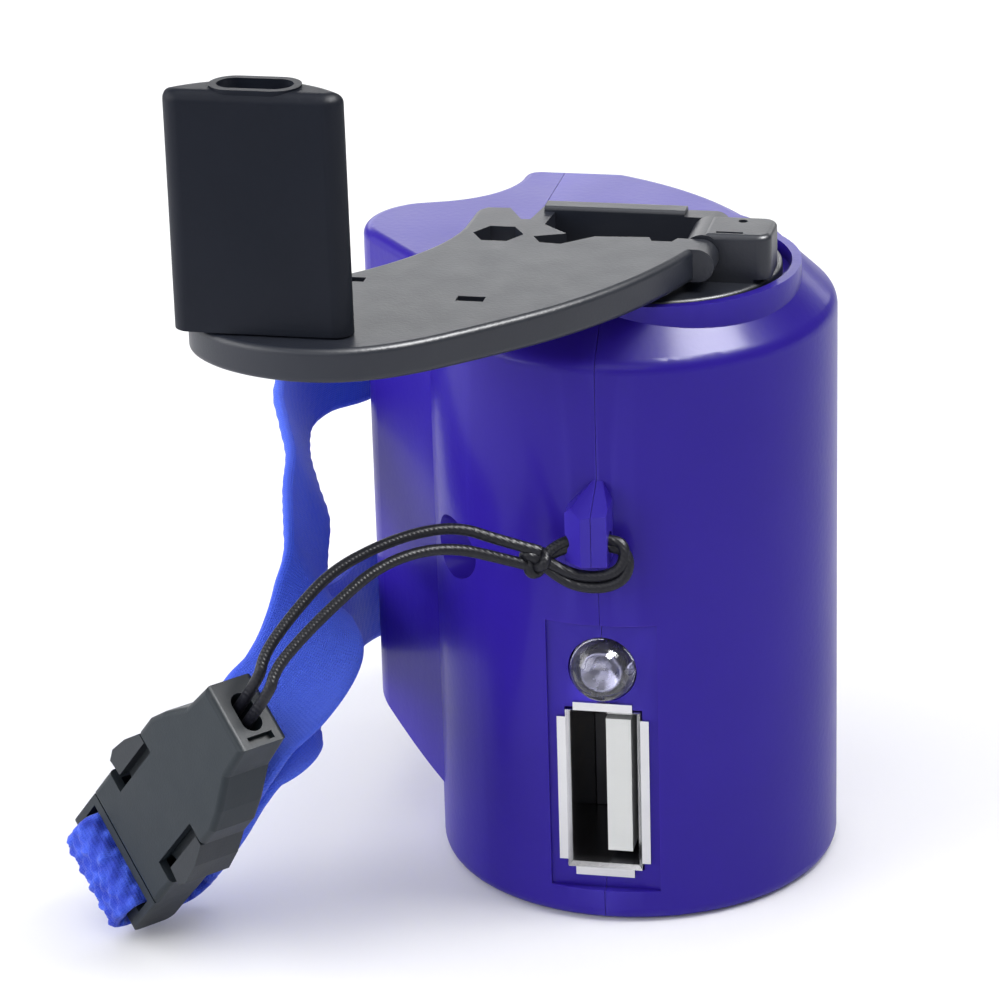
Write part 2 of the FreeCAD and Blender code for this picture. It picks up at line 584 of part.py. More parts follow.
def crank_arm():
    open_x = PIN_X + WINDOW_OUT
    window = [(open_x, BLOCK_Y[1] + EAR_GAP), (-5.4, BLOCK_Y[1] + EAR_GAP), (-5.6, -4.6), (-3.6, -6.5),
              (-5.9, -7.4), (-5.2, -8.7), (-3.6, -8.9), (-1.4, -6.9), (2.6, BLOCK_Y[0] - EAR_GAP),
              (2.9, -7.4), (4.4, -7.4), (4.7, BLOCK_Y[0] - EAR_GAP), (open_x, BLOCK_Y[0] - EAR_GAP)]
    plate = Part.Face(arm_outline(ARM_Z)).extrude(vec(0, 0, ARM_T))
    rim = [e for z in (ARM_Z, ARM_TOP) for e in edges_at(plate, z) if e.Length > 20]
    plate = plate.makeFillet(ARM_ROUND, rim)
    rail = box((-6.2, PIN_X), (BLOCK_Y[1] + EAR_GAP, RAIL_BACK_Y), (ARM_TOP - 0.1, ARM_TOP + RAIL_UP))
    rail = rail.makeFillet(0.3, [e for e in edges_at(rail, ARM_TOP + RAIL_UP) if e.Length > 3])
    rail = rail.cut(box((4.4, 20), (-10, 10), (ARM_TOP, ARM_TOP + 5)))
    ears = [rod_y(ARM_T / 2, FRONT_EAR_Y, BLOCK_Y[0] - EAR_GAP, PIN_X, ARM_MID_Z),
            rod_y(ARM_T / 2, BLOCK_Y[1] + EAR_GAP, RAIL_BACK_Y, PIN_X, ARM_MID_Z)]
    arm = fused([plate, rail] + ears)
    hexagon = [polar((-8.6, -7.1), 60 * k, 1.9) for k in range(6)]
    cuts = [prism(window, ARM_Z - 1, ARM_TOP + 1), prism(hexagon, ARM_Z - 1, ARM_TOP + 1),
            rod_y(PIN_R + RUN, FRONT_EAR_Y + EAR_SHUT, RAIL_BACK_Y + 1, PIN_X, ARM_MID_Z),
            cylinder(KNOB_SCREW_R + PRESS, ARM_Z - 1, ARM_TOP + 1, (KNOB_X, KNOB_PIN_Y)),
            box((-17.2, -16.0), (-18.9, -18.0), (ARM_TOP - 0.8, ARM_TOP + 1)),
            box((-8.6, -6.6), (-22.0, -21.0), (ARM_TOP - 0.8, ARM_TOP + 1))]
    for cut in cuts:
        arm = arm.cut(cut)
    return arm


def d_section(width, depth, z):
    """A grip section: flat in front, bulged behind."""
    left, right = KNOB_X - width / 2, KNOB_X + width / 2
    c, f = KNOB_CORNER, KNOB_FRONT
    k = c * (1 - math.sqrt(0.5))
    return Part.Wire([
        Part.LineSegment(vec(left + c, f, z), vec(right - c, f, z)).toShape(),
        Part.Arc(vec(right - c, f, z), vec(right - k, f + k, z), vec(right, f + c, z)).toShape(),
        Part.Arc(vec(right, f + c, z), vec(KNOB_X, f + depth, z), vec(left, f + c, z)).toShape(),
        Part.Arc(vec(left, f + c, z), vec(left + k, f + k, z), vec(left + c, f, z)).toShape()])


def obround(width, depth, z0, z1):
    """A slot-shaped block centred on the knob's pin."""
    off, radius = (width - depth) / 2, depth / 2
    middle = box((KNOB_X - off, KNOB_X + off), (KNOB_PIN_Y - radius, KNOB_PIN_Y + radius), (z0, z1))
    return fused([middle] + [cylinder(radius, z0, z1, (KNOB_X + s * off, KNOB_PIN_Y)) for s in (-1, 1)])


def knob():
    z0 = ARM_TOP + KNOB_GAP
    z1 = z0 + KNOB_H
    grip = Part.makeLoft([d_section(*KNOB_BASE, z0), d_section(*KNOB_TOP, z1)], True, True)
    grip = grip.makeFillet(KNOB_ROUND, edges_at(grip, z1))
    grip = fused([grip, obround(HOLLOW_W + 1.1, HOLLOW_D + 1.1, z1 - 5, z1 + 0.15)])
    grip = grip.cut(obround(HOLLOW_W, HOLLOW_D, z1 - HOLLOW_DEEP, z1 + 5))
    return grip.cut(cylinder(KNOB_SCREW_R + RUN, z0 - 1, z1, (KNOB_X, KNOB_PIN_Y)))


def knob_screw():
    at = (KNOB_X, KNOB_PIN_Y)
    seat = ARM_TOP + KNOB_GAP + KNOB_H - HOLLOW_DEEP
    head = cylinder(KNOB_HEAD_R, seat + 0.05, seat + 0.95, at)
    slot = box((KNOB_X - 2, KNOB_X + 2), (KNOB_PIN_Y - 0.15, KNOB_PIN_Y + 0.15), (seat + 0.6, seat + 2))
    return fused([head, cylinder(KNOB_SCREW_R, ARM_Z + 0.1, seat + 0.1, at)]).cut(slot)


# ---------------------------------------------------------------- socket, lamp and board
def usb_parts():
    back = POCKET_Y + USB_LONG
    z0, z1 = USB_Z - USB_H / 2, USB_Z + USB_H / 2
    front = POCKET_Y - 0.35
    tube = box((-USB_W / 2, USB_W / 2), (front, back), (z0, z1))
    half_w, half_h = USB_W / 2 - USB_SHEET, USB_H / 2 - USB_SHEET
    lips = [box((-FLANGE_W / 2, FLANGE_W / 2), (front, POCKET_Y - 0.02),
                (USB_Z - half_h + LIP_SHORT, USB_Z + half_h - LIP_SHORT)),
            box((-half_w + LIP_SHORT, half_w - LIP_SHORT), (front, POCKET_Y - 0.02),
                (USB_Z - FLANGE_H / 2, USB_Z + FLANGE_H / 2))]
    hollow = box((-half_w, half_w), (front - 1, back - USB_SHEET), (USB_Z - half_h, USB_Z + half_h))
    mouth = []
    for y, more in ((front - 0.01, LIP_FLARE), (POCKET_Y, 0.0)):
        x, z = half_w + more, half_h + more
        corners = [vec(-x, y, USB_Z - z), vec(x, y, USB_Z - z), vec(x, y, USB_Z + z), vec(-x, y, USB_Z + z)]
        mouth.append(Part.makePolygon(corners + corners[:1]))
    shell = fused([tube] + lips).cut(hollow).cut(Part.makeLoft(mouth, True, True))
    for z in (USB_Z - 3.2, USB_Z + 3.2):
        shell = shell.cut(box((USB_W / 2 - 1, USB_W / 2 + 1), (-12.5, -8.0), (z - 0.9, z + 0.9)))
    x1 = USB_W / 2 - USB_SHEET - TONGUE_OFF
    tongue = box((x1 - TONGUE_T, x1), (POCKET_Y + 0.7, back - USB_SHEET - 0.02),
                 (USB_Z - TONGUE_H / 2, USB_Z + TONGUE_H / 2))
    block = box((-USB_W / 2 + USB_SHEET + 0.05, USB_W / 2 - USB_SHEET - 0.05),
                (-5.0, back - USB_SHEET - 0.02), (z0 + USB_SHEET + 0.05, z1 - USB_SHEET - 0.05))
    tongue = fused([tongue, block])
    contacts = []
    for k in range(4):
        z = USB_Z + (k - 1.5) * 2.2
        slot = box((x1 - TONGUE_T - 0.2, x1 - TONGUE_T + 0.25), (POCKET_Y + 1.2, -5.0), (z - 0.5, z + 0.5))
        tongue = tongue.cut(slot)
        contacts.append(box((x1 - TONGUE_T, x1 - TONGUE_T + 0.24), (POCKET_Y + 1.25, -5.05), (z - 0.45, z + 0.45)))
    return shell, tongue, contacts


def lamp():
    front = -BARREL_R - 1.4
    back = front + LED_LONG
    body = fused([Part.makeSphere(LED_R, vec(0, front + LED_R, LED_Z)),
                  rod_y(LED_R, front + LED_R, back - 1, 0, LED_Z),
                  rod_y(LED_R + 0.4, back - 1, back, 0, LED_Z)])
    leads = []
    for x, y in ((-1.27, back + 0.6), (1.27, back + 1.3)):
        down = BOARD_Z[1] + 0.45
        end = BOARD_X - BOARD_T / 2
        leads.append(fused([
            rod_y(0.22, back, y, x, LED_Z), Part.makeSphere(0.22, vec(x, y, LED_Z)),
            Part.makeCylinder(0.22, LED_Z - down, vec(x, y, down)), Part.makeSphere(0.22, vec(x, y, down)),
            rod_x(0.22, end, x, y, down), Part.makeSphere(0.22, vec(end, y, down)),
            Part.makeCylinder(0.22, down - BOARD_Z[1], vec(end, y, BOARD_Z[1]))]))
    return body, leads


def board_parts():
    left = BOARD_X - BOARD_T
    board = box((left, BOARD_X), BOARD_Y, BOARD_Z)
    low, high = BOARD_Z
    y, z = BOARD_Y[0] + COIL_IN, low + COIL_UP
    out = left - COIL_LONG
    coil = fused([rod_x(COIL_R + COIL_RIM, left - COIL_FLANGE, left, y, z),
                  rod_x(COIL_R, out + COIL_FLANGE, left - COIL_FLANGE, y, z),
                  rod_x(COIL_R + COIL_RIM, out, out + COIL_FLANGE, y, z)])
    capacitor = cylinder(2.5, low + 3.2, high - 4.7, (left - 2.5, -1.5))
    capacitor = capacitor.makeFillet(0.4, edges_at(capacitor, high - 4.7))
    regulator = box((left - 1.5, left), (-10.8, -5.8), (high - 5.4, high - 1.6))
    diodes = [box((left - 1.1, left), (y, y + 1.7), (z, z + 2.9))
              for y in (1.6, 4.0) for z in (low + 2.8, high - 6.4)]
    resistors = [box((left - 0.5, left), (y, y + 0.9), (high - 3.0, high - 1.3)) for y in (-4.6, -2.8, -1.0, 0.8)]
    return board, coil, capacitor, regulator, diodes, resistors


# ---------------------------------------------------------------- buckle
def buckle_frame():
    """The placement that takes (along, across, out of the broad face) to the case's frame."""
    u = vec(*BUCKLE_U)
    u.normalize()
    w = vec(*BUCKLE_W)
    w = w - u * u.dot(w)
    w.normalize()
    n = w.cross(u)
    at = vec(*BUCKLE_AT)
    matrix = FreeCAD.Matrix(u.x, w.x, n.x, at.x, u.y, w.y, n.y, at.y, u.z, w.z, n.z, at.z, 0, 0, 0, 1)
    return matrix, u, w, n, at


def on_buckle(points):
    """Points on the buckle's middle plane, in the case's frame."""
    _, u, w, n, at = buckle_frame()
    return [tuple(at + u * a + w * c - n * (BUCKLE_T / 2)) for a, c in points]


def buckle_prism(points, z0, z1):
    """A mirrored plan: points on the +across side, from mouth to end."""
    mirrored = [(x, -y) for x, y in reversed(points)]
    return prism(points + mirrored, z0, z1)


def placed(shape):
    return shape.transformGeometry(buckle_frame()[0])


def buckle_socket():
    half, end = SOCKET_W / 2, SOCKET_END_W / 2
    body = buckle_prism([(0, half), (11.5, half), (13.5, half - 0.6), (16.5, end + 0.3), (SOCKET_L, end)],
                        -BUCKLE_T, 0)
    body = body.makeFillet(0.45, edges_at(body, 0) + edges_at(body, -BUCKLE_T))
    mouth = box((-1, 12.0), (-half + 0.8, half - 0.8), (-BUCKLE_T + 0.7, -0.7))
    body = body.cut(mouth)
    for side in (-1, 1):
        y = sorted((side * (half - 1.9), side * (half + 1)))
        body = body.cut(box((3.4, 9.6), y, (-BUCKLE_T - 1, 1)))
    hole = box((13.4, SOCKET_L + 1), (-0.75, 0.75), (-BUCKLE_T / 2 - 0.85, -BUCKLE_T / 2 + 0.85))
    rounds = [rod_x(0.85, 13.4, SOCKET_L + 1, s * 0.75, -BUCKLE_T / 2) for s in (-1, 1)]
    grip = box((SOCKET_L - 0.6, SOCKET_L + 1), (1.9, 2.5), (-BUCKLE_T / 2 - 1.1, -BUCKLE_T / 2 + 1.1))
    return body.cut(fused([hole] + rounds)).cut(grip)


def buckle_plug():
    half = SOCKET_W / 2
    z0, z1 = -BUCKLE_T + 1.0, -1.0
    base = box((-PLUG_L, -0.15), (-half + 0.1, half - 0.1), (-BUCKLE_T + 0.2, -0.2))
    base = base.makeFillet(0.8, [e for e in base.Edges if e.BoundBox.XMax < -PLUG_L + 0.01 and e.Length > 6])
    slot = box((-2.7, -0.95), (-STRAP_W / 2 - 0.3, STRAP_W / 2 + 0.3), (-BUCKLE_T - 1, 1))
    pieces = [base.cut(slot), box((-0.5, 10.5), (-0.8, 0.8), (z0, z1))]
    for side in (-1, 1):
        prong = [(-0.5, side * 2.6), (3.9, side * 2.9), (4.3, side * 4.0), (4.9, side * 5.0),
                 (8.6, side * 4.9), (9.2, side * 4.3), (9.0, side * 2.6), (5.6, side * 2.2), (-0.5, side * 1.6)]
        pad = [(4.3, side * 4.1), (4.1, side * 5.5), (5.1, side * 5.9), (7.2, side * 5.6), (9.3, side * 4.9),
               (9.3, side * 4.1)]
        pieces += [prism(prong, z0, z1), prism(pad, -BUCKLE_T + 0.1, -0.1)]
    return fused(pieces)


# ---------------------------------------------------------------- strap and cord
def curve_points(knots, steps):
    """Points on a smooth curve through the knots, whose first three numbers are a place."""
    spans = [math.dist(a[:3], b[:3]) ** 0.5 for a, b in zip(knots, knots[1:])]
    slopes = [[(q - p) / h for p, q in zip(a, b)] for a, b, h in zip(knots, knots[1:], spans)]
    tangents = [slopes[0]]
    for h0, h1, s0, s1 in zip(spans, spans[1:], slopes, slopes[1:]):
        tangents.append([(p * h1 + q * h0) / (h0 + h1) for p, q in zip(s0, s1)])
    tangents.append(slopes[-1])
    found = []
    for i, h in enumerate(spans):
        for step in range(steps):
            t = step / steps
            found.append(tuple(
                (1 + 2 * t) * (1 - t) ** 2 * p + t * (1 - t) ** 2 * h * m
                + t * t * (3 - 2 * t) * q + t * t * (t - 1) * h * n
                for p, q, m, n in zip(knots[i], knots[i + 1], tangents[i], tangents[i + 1])))
    return found + [knots[-1]]


# The strap behind the buckle: (along, out of the face, across), from the tail round the bar.
STRAP_TAIL = -BUCKLE_T - 0.75
STRAP_LAYER = 1.2        # from one layer behind the buckle to the next
STRAP_OUTER = STRAP_TAIL - 2 * STRAP_LAYER
STRAP_BAR = [(5.0, STRAP_TAIL, 0), (2.0, STRAP_TAIL, 0), (-0.95, STRAP_TAIL, 0), (-1.66, STRAP_TAIL + 0.29, 0),
             (-1.95, STRAP_TAIL + 1.0, 0), (-1.95, -BUCKLE_T / 2, 0), (-1.95, -0.45, 0), (-2.24, 0.26, 0),
             (-2.95, 0.55, 0), (-3.9, 0.55, 0), (-4.8, 0.55, 0), (-5.51, 0.26, 0), (-5.8, -0.45, 0),
             (-5.8, -3.0, 0), (-5.8, STRAP_OUTER + 1.9, 0), (-5.24, STRAP_OUTER + 0.56, 0),
             (-3.9, STRAP_OUTER, 0), (0.0, STRAP_OUTER, 0), (4.0, STRAP_OUTER, -0.2),
             (8.0, STRAP_OUTER - 0.1, -0.7), (9.6, STRAP_OUTER - 0.75, -1.1)]
# The free loop: centre of the strap, then the direction across it.
STRAP_LOOP = [
    ((-24.5, -19.6, 16.3), (0.5, -0.4, -0.75)), ((-23.5, -17.4, 17.2), (0.4, -0.35, -0.85)),
    ((-23.5, -12.5, 17.9), (0.15, -0.2, -0.95)), ((-24.1, -5.5, 17.7), (0, 0, -1)),
    ((-24.2, 0.0, 16.3), (0, 0, -1)), ((-24.3, 5.0, 15.5), (0, 0, -1)), ((-24.1, 10.0, 14.6), (0, 0, -1)),
    ((-22.5, 15.0, 14.1), (0.1, 0.1, -1)), ((-19.0, 19.3, 14.3), (0, 0.35, -0.93)),
    ((-14.0, 22.4, 15.0), (-0.1, 0.6, -0.8)), ((-8.4, 24.3, 16.3), (-0.1, 0.9, -0.45)),
    ((-3.6, 25.1, 18.9), (0, 1, -0.1)), ((-1.7, 25.4, 23.0), (0, 1, 0)), ((-3.0, 25.2, 27.6), (0, 1, 0)),
    ((-7.4, 24.5, 31.6), (0, 0.95, -0.3)), ((-13.0, 22.6, 33.9), (-0.1, 0.8, -0.6)),
    ((-18.2, 19.2, 34.9), (0, 0.5, -0.87)), ((-21.8, 14.9, 35.2), (0, 0.2, -0.98)),
    ((-23.9, 10.6, 35.3), (0, 0, -1)), ((-26.3, 7.4, 35.2), (0.04, 0.15, -1)),
    ((-27.5, 4.4, 34.3), (0.07, 0.35, -0.93)), ((-27.4, 1.4, 32.9), (0.15, 0.40, -0.89)),
    ((-26.2, -1.4, 31.3), (0.2, 0.35, -0.9)), ((-24.9, -4.2, 29.7), (0.25, 0.3, -0.9)),
    ((-24.3, -7.4, 28.0), (0.27, 0.25, -0.92)), ((-23.4, -11.0, 26.5), (0.3, 0.15, -0.92)),
    ((-21.9, -14.6, 24.9), (0.6, 0.0, -0.75)), ((-21.4, -17.9, 22.8), (0.75, -0.2, -0.6))]
# The sewn end: back behind the buckle, between the tail and the first leg.
STRAP_BACK = [(15.0, -9.9, -2.7), (13.2, -7.9, -2.0), (11.0, -6.9, -1.3),
              (8.0, STRAP_TAIL - STRAP_LAYER - 0.05, -0.6), (4.5, STRAP_TAIL - STRAP_LAYER, -0.1),
              (0.4, STRAP_TAIL - STRAP_LAYER, 0)]


def strap_sections():
    """Centre and direction across the strap, all the way round."""
    _, u, w, n, at = buckle_frame()
    knots = [tuple(at + u * a + n * b + w * c) + tuple(w) for a, b, c in STRAP_BAR]
    knots += [tuple(centre) + tuple(across) for centre, across in STRAP_LOOP]
    knots += [tuple(at + u * a + n * b + w * c) + tuple(w) for a, b, c in STRAP_BACK]
    return curve_points(knots, 2)


def strap():
    """One ribbon, lofted through its sections."""
    rows = strap_sections()
    wires = []
    length = 0.0
    for i, row in enumerate(rows):
        centre = vec(*row[:3])
        along = vec(*rows[min(i + 1, len(rows) - 1)][:3]) - vec(*rows[max(i - 1, 0)][:3])
        along.normalize()
        across = vec(*row[3:])
        across = (across - along * along.dot(across)).normalize()
        side, out = across * (STRAP_W / 2), along.cross(across) * (STRAP_T / 2)
        corners = [centre + side + out, centre + out - side, centre - side - out, centre + side - out]
        wires.append(Part.makePolygon(corners + corners[:1]))
        if i:
            length += (centre - vec(*rows[i - 1][:3])).Length
    solid = Part.makeLoft(wires, True, False)
    print("strap length %.1f, volume %.1f, section times length %.1f"
          % (length, solid.Volume, length * STRAP_W * STRAP_T))
    return solid


def stitches():
    """Rows of thread across the outer leg, over the sewn end."""
    outside = STRAP_OUTER - STRAP_T / 2
    return [placed(box((a, a + 0.5), (-3.2, 3.2), (outside - 0.22, outside - 0.01))) for a in (1.2, 2.8)]


def tube(points, diameter):
    """A cord along straight runs joined by tangent arcs."""
    corners = [vec(*p) for p in points]
    edges, start, radii = [], corners[0], []
    for before, corner, after in zip(corners, corners[1:], corners[2:]):
        come, go = corner - before, after - corner
        turn = come.getAngle(go)
        reach = 0.45 * min(come.Length, go.Length)
        radius = reach / math.tan(turn / 2)
        radii.append(radius)
        come.normalize()
        go.normalize()
        first, last = corner - come * reach, corner + go * reach
        inward = go - come
        inward.normalize()
        middle = corner + inward * (radius / math.cos(turn / 2) - radius)
        edges.append(Part.LineSegment(start, first).toShape())
        edges.append(Part.Arc(first, middle, last).toShape())
        start = last
    edges.append(Part.LineSegment(start, corners[-1]).toShape())
    path = Part.Wire(edges)
    heading = corners[1] - corners[0]
    ring = Part.Wire([Part.Circle(corners[0], heading, diameter / 2).toShape()])
    solid = path.makePipeShell([ring], True, False)
    print("cord length %.1f, least radius %.2f, volume ratio %.4f"
          % (path.Length, min(radii), solid.Volume / (path.Length * math.pi * diameter ** 2 / 4)))
    return solid


# Free cord between the knot and the buckle, then (along, across) on the buckle's middle plane.
CORD_A = [(-3.9, -17.7, 31.3), (-6.8, -18.8, 32.5), (-9.3, -19.7, 33.7), (-12.0, -21.1, 33.8),
          (-15.0, -22.9, 33.1), (-17.9, -24.9, 31.8), (-20.1, -27.2, 29.5), (-21.9, -29.3, 27.1)]
CORD_A_END = [(23.0, -0.65), (14.2, -0.65)]
CORD_B = [(-4.1, -17.5, 29.9), (-6.9, -19.2, 31.3), (-9.3, -20.8, 32.5), (-11.9, -22.4, 32.8),
          (-14.6, -24.4, 32.1), (-16.8, -26.4, 30.4), (-19.1, -28.3, 28.3), (-20.9, -30.1, 26.3)]
CORD_B_END = [(23.4, 0.65), (14.2, 0.65)]
CORD_LOOP = [(-3.3, -17.1, 31.6), (-1.7, LUG_HOLE_Y, LUG_HOLE_Z), (1.8, LUG_HOLE_Y, LUG_HOLE_Z),
             (2.7, -17.0, 30.6), (2.3, -17.4, 29.2), (0.6, -17.6, 28.6), (-1.5, -17.6, 28.9), (-3.4, -17.4, 29.8)]


def knot():
    """The overhand knot, as three turns of the doubled cord."""
    turns = []
    for centre, axis, radius in (((-4.3, -17.6, 30.6), (0.8, 0.3, 0.5), 0.85),
                                 ((-4.9, -17.7, 30.9), (0.9, 0.1, -0.4), 0.8),
                                 ((-3.9, -17.5, 30.3), (0.5, 0.2, 0.85), 0.75)):
        turns.append(Part.makeTorus(radius, CORD_D * 0.62, vec(*centre), vec(*axis)))
    turns.append(Part.makeSphere(0.9, vec(-4.35, -17.6, 30.6)))
    return fused(turns)


def main():
    os.makedirs("parts", exist_ok=True)
    left, right = case_halves()
    export("case_left", left)
    export("case_right", right)
    export("case_screws", Part.makeCompound(case_screws()))
    bush = cylinder(BUSH_R, CEILING_Z - 0.2, CASE_H - RECESS_D, CRANK_AT)
    export("crank_bush", bush.cut(cylinder(STEM_R + RUN, CEILING_Z - 1, CASE_H, CRANK_AT)))
    export("gear_plate", gear_plate())
    can, cap, tabs, rotor, motor_screws = generator()
    export("generator_can", can)
    export("generator_cap", cap)
    export("generator_tabs", Part.makeCompound(tabs))
    export("generator_rotor", rotor)
    export("generator_screws", Part.makeCompound(motor_screws))
    crank_gear, gear_b, gear_c, motor_pinion, axle_b, axle_c = gear_train()
    export("crank_gear", crank_gear)
    export("gear_b", gear_b)
    export("gear_c", gear_c)
    export("rotor_pinion", motor_pinion)
    export("axle_b", axle_b)
    export("axle_c", axle_c)
    export("crank_hub", crank_hub())
    washer = cylinder(2.3, CRANK_GEAR_Z[0] - 0.3, CRANK_GEAR_Z[0] - 0.01, CRANK_AT)
    export("hub_washer", washer.cut(cylinder(0.85, PLATE_TOP, CASE_H, CRANK_AT)))
    screw = fused([cylinder(0.79, CRANK_GEAR_Z[0] - 0.4, CRANK_GEAR_Z[0] + STEM_SCREW_IN, CRANK_AT),
                   cylinder(1.8, CRANK_GEAR_Z[0] - 1.5, CRANK_GEAR_Z[0] - 0.31, CRANK_AT)])
    export("hub_screw", screw)
    export("hinge_pin", rod_y(PIN_R, FRONT_EAR_Y + EAR_SHUT + 0.1, RAIL_BACK_Y - 0.1, PIN_X, ARM_MID_Z))
    export("crank_arm", crank_arm())
    export("knob", knob())
    export("knob_screw", knob_screw())
    shell, tongue, contacts = usb_parts()
    export("usb_shell", shell)
    export("usb_tongue", tongue)
    export("usb_contacts", Part.makeCompound(contacts))
    body, leads = lamp()
    export("lamp", body)
    export("lamp_leads", Part.makeCompound(leads))
    board, coil, capacitor, regulator, diodes, resistors = board_parts()
    export("board", board)
    export("board_coil", coil)
    export("board_capacitor", capacitor)
    export("board_regulator", regulator)
    export("board_diodes", Part.makeCompound(diodes))
    export("board_resistors", Part.makeCompound(resistors))
    export("buckle_socket", placed(buckle_socket()))
    export("buckle_plug", placed(buckle_plug()))
    export("strap", strap())
    export("strap_stitches", Part.makeCompound(stitches()))
    export("cord_upper", tube(CORD_A + on_buckle(CORD_A_END), CORD_D))
    export("cord_lower", tube(CORD_B + on_buckle(CORD_B_END), CORD_D))
    export("cord_loop", tube(CORD_LOOP, CORD_D))
    export("cord_knot", knot())


if __name__ == "__main__":
    main()
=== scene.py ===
"""Looks for a hand crank charger: violet case, folding crank with its grip, buckle, strap and cords.

Sizes and places are in millimetres and the camera's angles in degrees. They become metres and radians where
a mesh, a curve, a texture or the camera is made. The floor, the lights and a cord's real length are in
metres, as their docstrings say.
"""

from __future__ import annotations

import json
import logging
import math
from dataclasses import dataclass
from enum import Enum
from typing import Sequence

import bmesh
import bpy
from mathutils import Matrix, Vector

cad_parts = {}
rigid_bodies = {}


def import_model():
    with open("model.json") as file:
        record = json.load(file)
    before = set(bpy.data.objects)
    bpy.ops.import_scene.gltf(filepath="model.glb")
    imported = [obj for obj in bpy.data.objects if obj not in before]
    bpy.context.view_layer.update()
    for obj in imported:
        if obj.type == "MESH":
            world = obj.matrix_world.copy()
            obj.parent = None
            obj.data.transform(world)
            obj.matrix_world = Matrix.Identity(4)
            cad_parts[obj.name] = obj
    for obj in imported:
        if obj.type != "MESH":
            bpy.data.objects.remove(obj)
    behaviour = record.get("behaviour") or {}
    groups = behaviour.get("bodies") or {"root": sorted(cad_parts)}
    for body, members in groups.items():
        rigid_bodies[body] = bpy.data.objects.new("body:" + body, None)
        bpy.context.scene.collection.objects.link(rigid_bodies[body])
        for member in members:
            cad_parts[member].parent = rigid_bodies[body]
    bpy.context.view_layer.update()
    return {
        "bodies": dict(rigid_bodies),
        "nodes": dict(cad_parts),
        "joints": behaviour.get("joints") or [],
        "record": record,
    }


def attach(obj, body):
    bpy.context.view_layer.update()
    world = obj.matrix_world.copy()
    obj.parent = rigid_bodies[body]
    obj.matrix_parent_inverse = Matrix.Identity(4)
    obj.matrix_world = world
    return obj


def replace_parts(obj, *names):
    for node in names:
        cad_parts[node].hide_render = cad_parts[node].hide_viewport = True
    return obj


LOG = logging.getLogger("charger")
MM = 0.001
CASE_BODY = "case"
KNOTTED = (4.0, 26.0)  # from and to where along the strap its threads stand up, round the buckle's bar

Colour = tuple[float, float, float]
Place = tuple[float, float, float]
Span = tuple[float, float]
Points = Sequence[Sequence[float]]
Socket = bpy.types.NodeSocket


# ------------------------------------------------------------------ finishes
class Pattern(Enum):
    """What a finish's fine relief is made of."""

    GRAIN = "grain"
    WEAVE = "weave"
    BRAID = "braid"
    BRUSHED = "brushed"
    WOUND = "wound"


@dataclass(frozen=True)
class Finish:
    """One material, with linear colours.

    Attributes:
        name: Name of the material.
        colour: Base colour.
        other: Colour that it drifts to in patches.
        rough: Roughness, and how far it varies.
        vary: Size of the patches.
        grain: Size of the fine relief.
        relief: Height of the fine relief.
        pattern: Kind of relief.
        metallic: 0 or 1.
        coat: Clear coat weight.
        coat_rough: Roughness of that coat.
        sheen: Cloth sheen weight.
        glow: Subsurface weight.
        clear: Transmission weight.
        shine: Specular level.
        worn: Colour of worn edges, or None.
        painted_shade: Colour of the painted shadow deep inside the socket, where little light reaches, or
            None.
        depth: Where along Y that painted shadow starts and is full.
        knots: From and to where along a webbing its threads stand up in knots, with painted shadow in the
            hollows between them, or None.
    """

    name: str
    colour: Colour
    other: Colour
    rough: Span = (0.4, 0.08)
    vary: float = 9.0
    grain: float = 0.35
    relief: float = 0.02
    pattern: Pattern = Pattern.GRAIN
    metallic: float = 0.0
    coat: float = 0.0
    coat_rough: float = 0.15
    sheen: float = 0.0
    glow: float = 0.0
    clear: float = 0.0
    shine: float = 0.5
    worn: Colour | None = None
    painted_shade: Colour | None = None
    depth: Span = (-14.85, -13.6)
    knots: Span | None = None


VIOLET = Finish("violet_case", (0.026, 0.011, 0.285), (0.018, 0.007, 0.220), rough=(0.36, 0.10), vary=16,
                grain=0.5, relief=0.012, coat=0.15, coat_rough=0.17, glow=0.10, shine=0.08,
                worn=(0.045, 0.03, 0.36))
CHARCOAL = Finish("charcoal_crank", (0.0070, 0.0090, 0.0165), (0.0100, 0.0135, 0.024), rough=(0.41, 0.12),
                  vary=7, grain=0.22, relief=0.010, shine=0.42, worn=(0.020, 0.022, 0.030))
GRIP_BLACK = Finish("grip_black", (0.0022, 0.0040, 0.0095), (0.0040, 0.0062, 0.0135), rough=(0.48, 0.10),
                    vary=6, grain=0.25, relief=0.012, shine=0.15, worn=(0.010, 0.012, 0.019))
BUCKLE_BLACK = Finish("buckle_black", (0.010, 0.016, 0.022), (0.016, 0.022, 0.028), rough=(0.46, 0.12),
                      vary=4, grain=0.18, relief=0.010, shine=0.22, worn=(0.026, 0.028, 0.033))
# Round the buckle's bar the webbing's colour gets painted shadow in the hollows between its knots.
STRAP_BLUE = Finish("strap_blue", (0.058, 0.125, 0.720), (0.036, 0.085, 0.600), rough=(0.66, 0.1), vary=12,
                    grain=0.22, relief=0.05, pattern=Pattern.WEAVE, sheen=0.10, glow=0.22, shine=0.2,
                    knots=KNOTTED)
THREAD_BLUE = Finish("thread_blue", (0.03, 0.08, 0.70), (0.02, 0.05, 0.50), rough=(0.6, 0.1), vary=2,
                     grain=0.3, relief=0.06, pattern=Pattern.BRAID, sheen=0.1, shine=0.2)
CORD_BLACK = Finish("cord_black", (0.0030, 0.0034, 0.0070), (0.0075, 0.0080, 0.0140), rough=(0.42, 0.1),
                    vary=0.9, grain=0.24, relief=0.032, pattern=Pattern.BRAID, sheen=0.02, shine=0.25)
ZINC = Finish("zinc_steel", (0.55, 0.56, 0.58), (0.42, 0.43, 0.46), rough=(0.32, 0.1), vary=3,
              grain=0.2, relief=0.004, pattern=Pattern.BRUSHED, metallic=1.0)
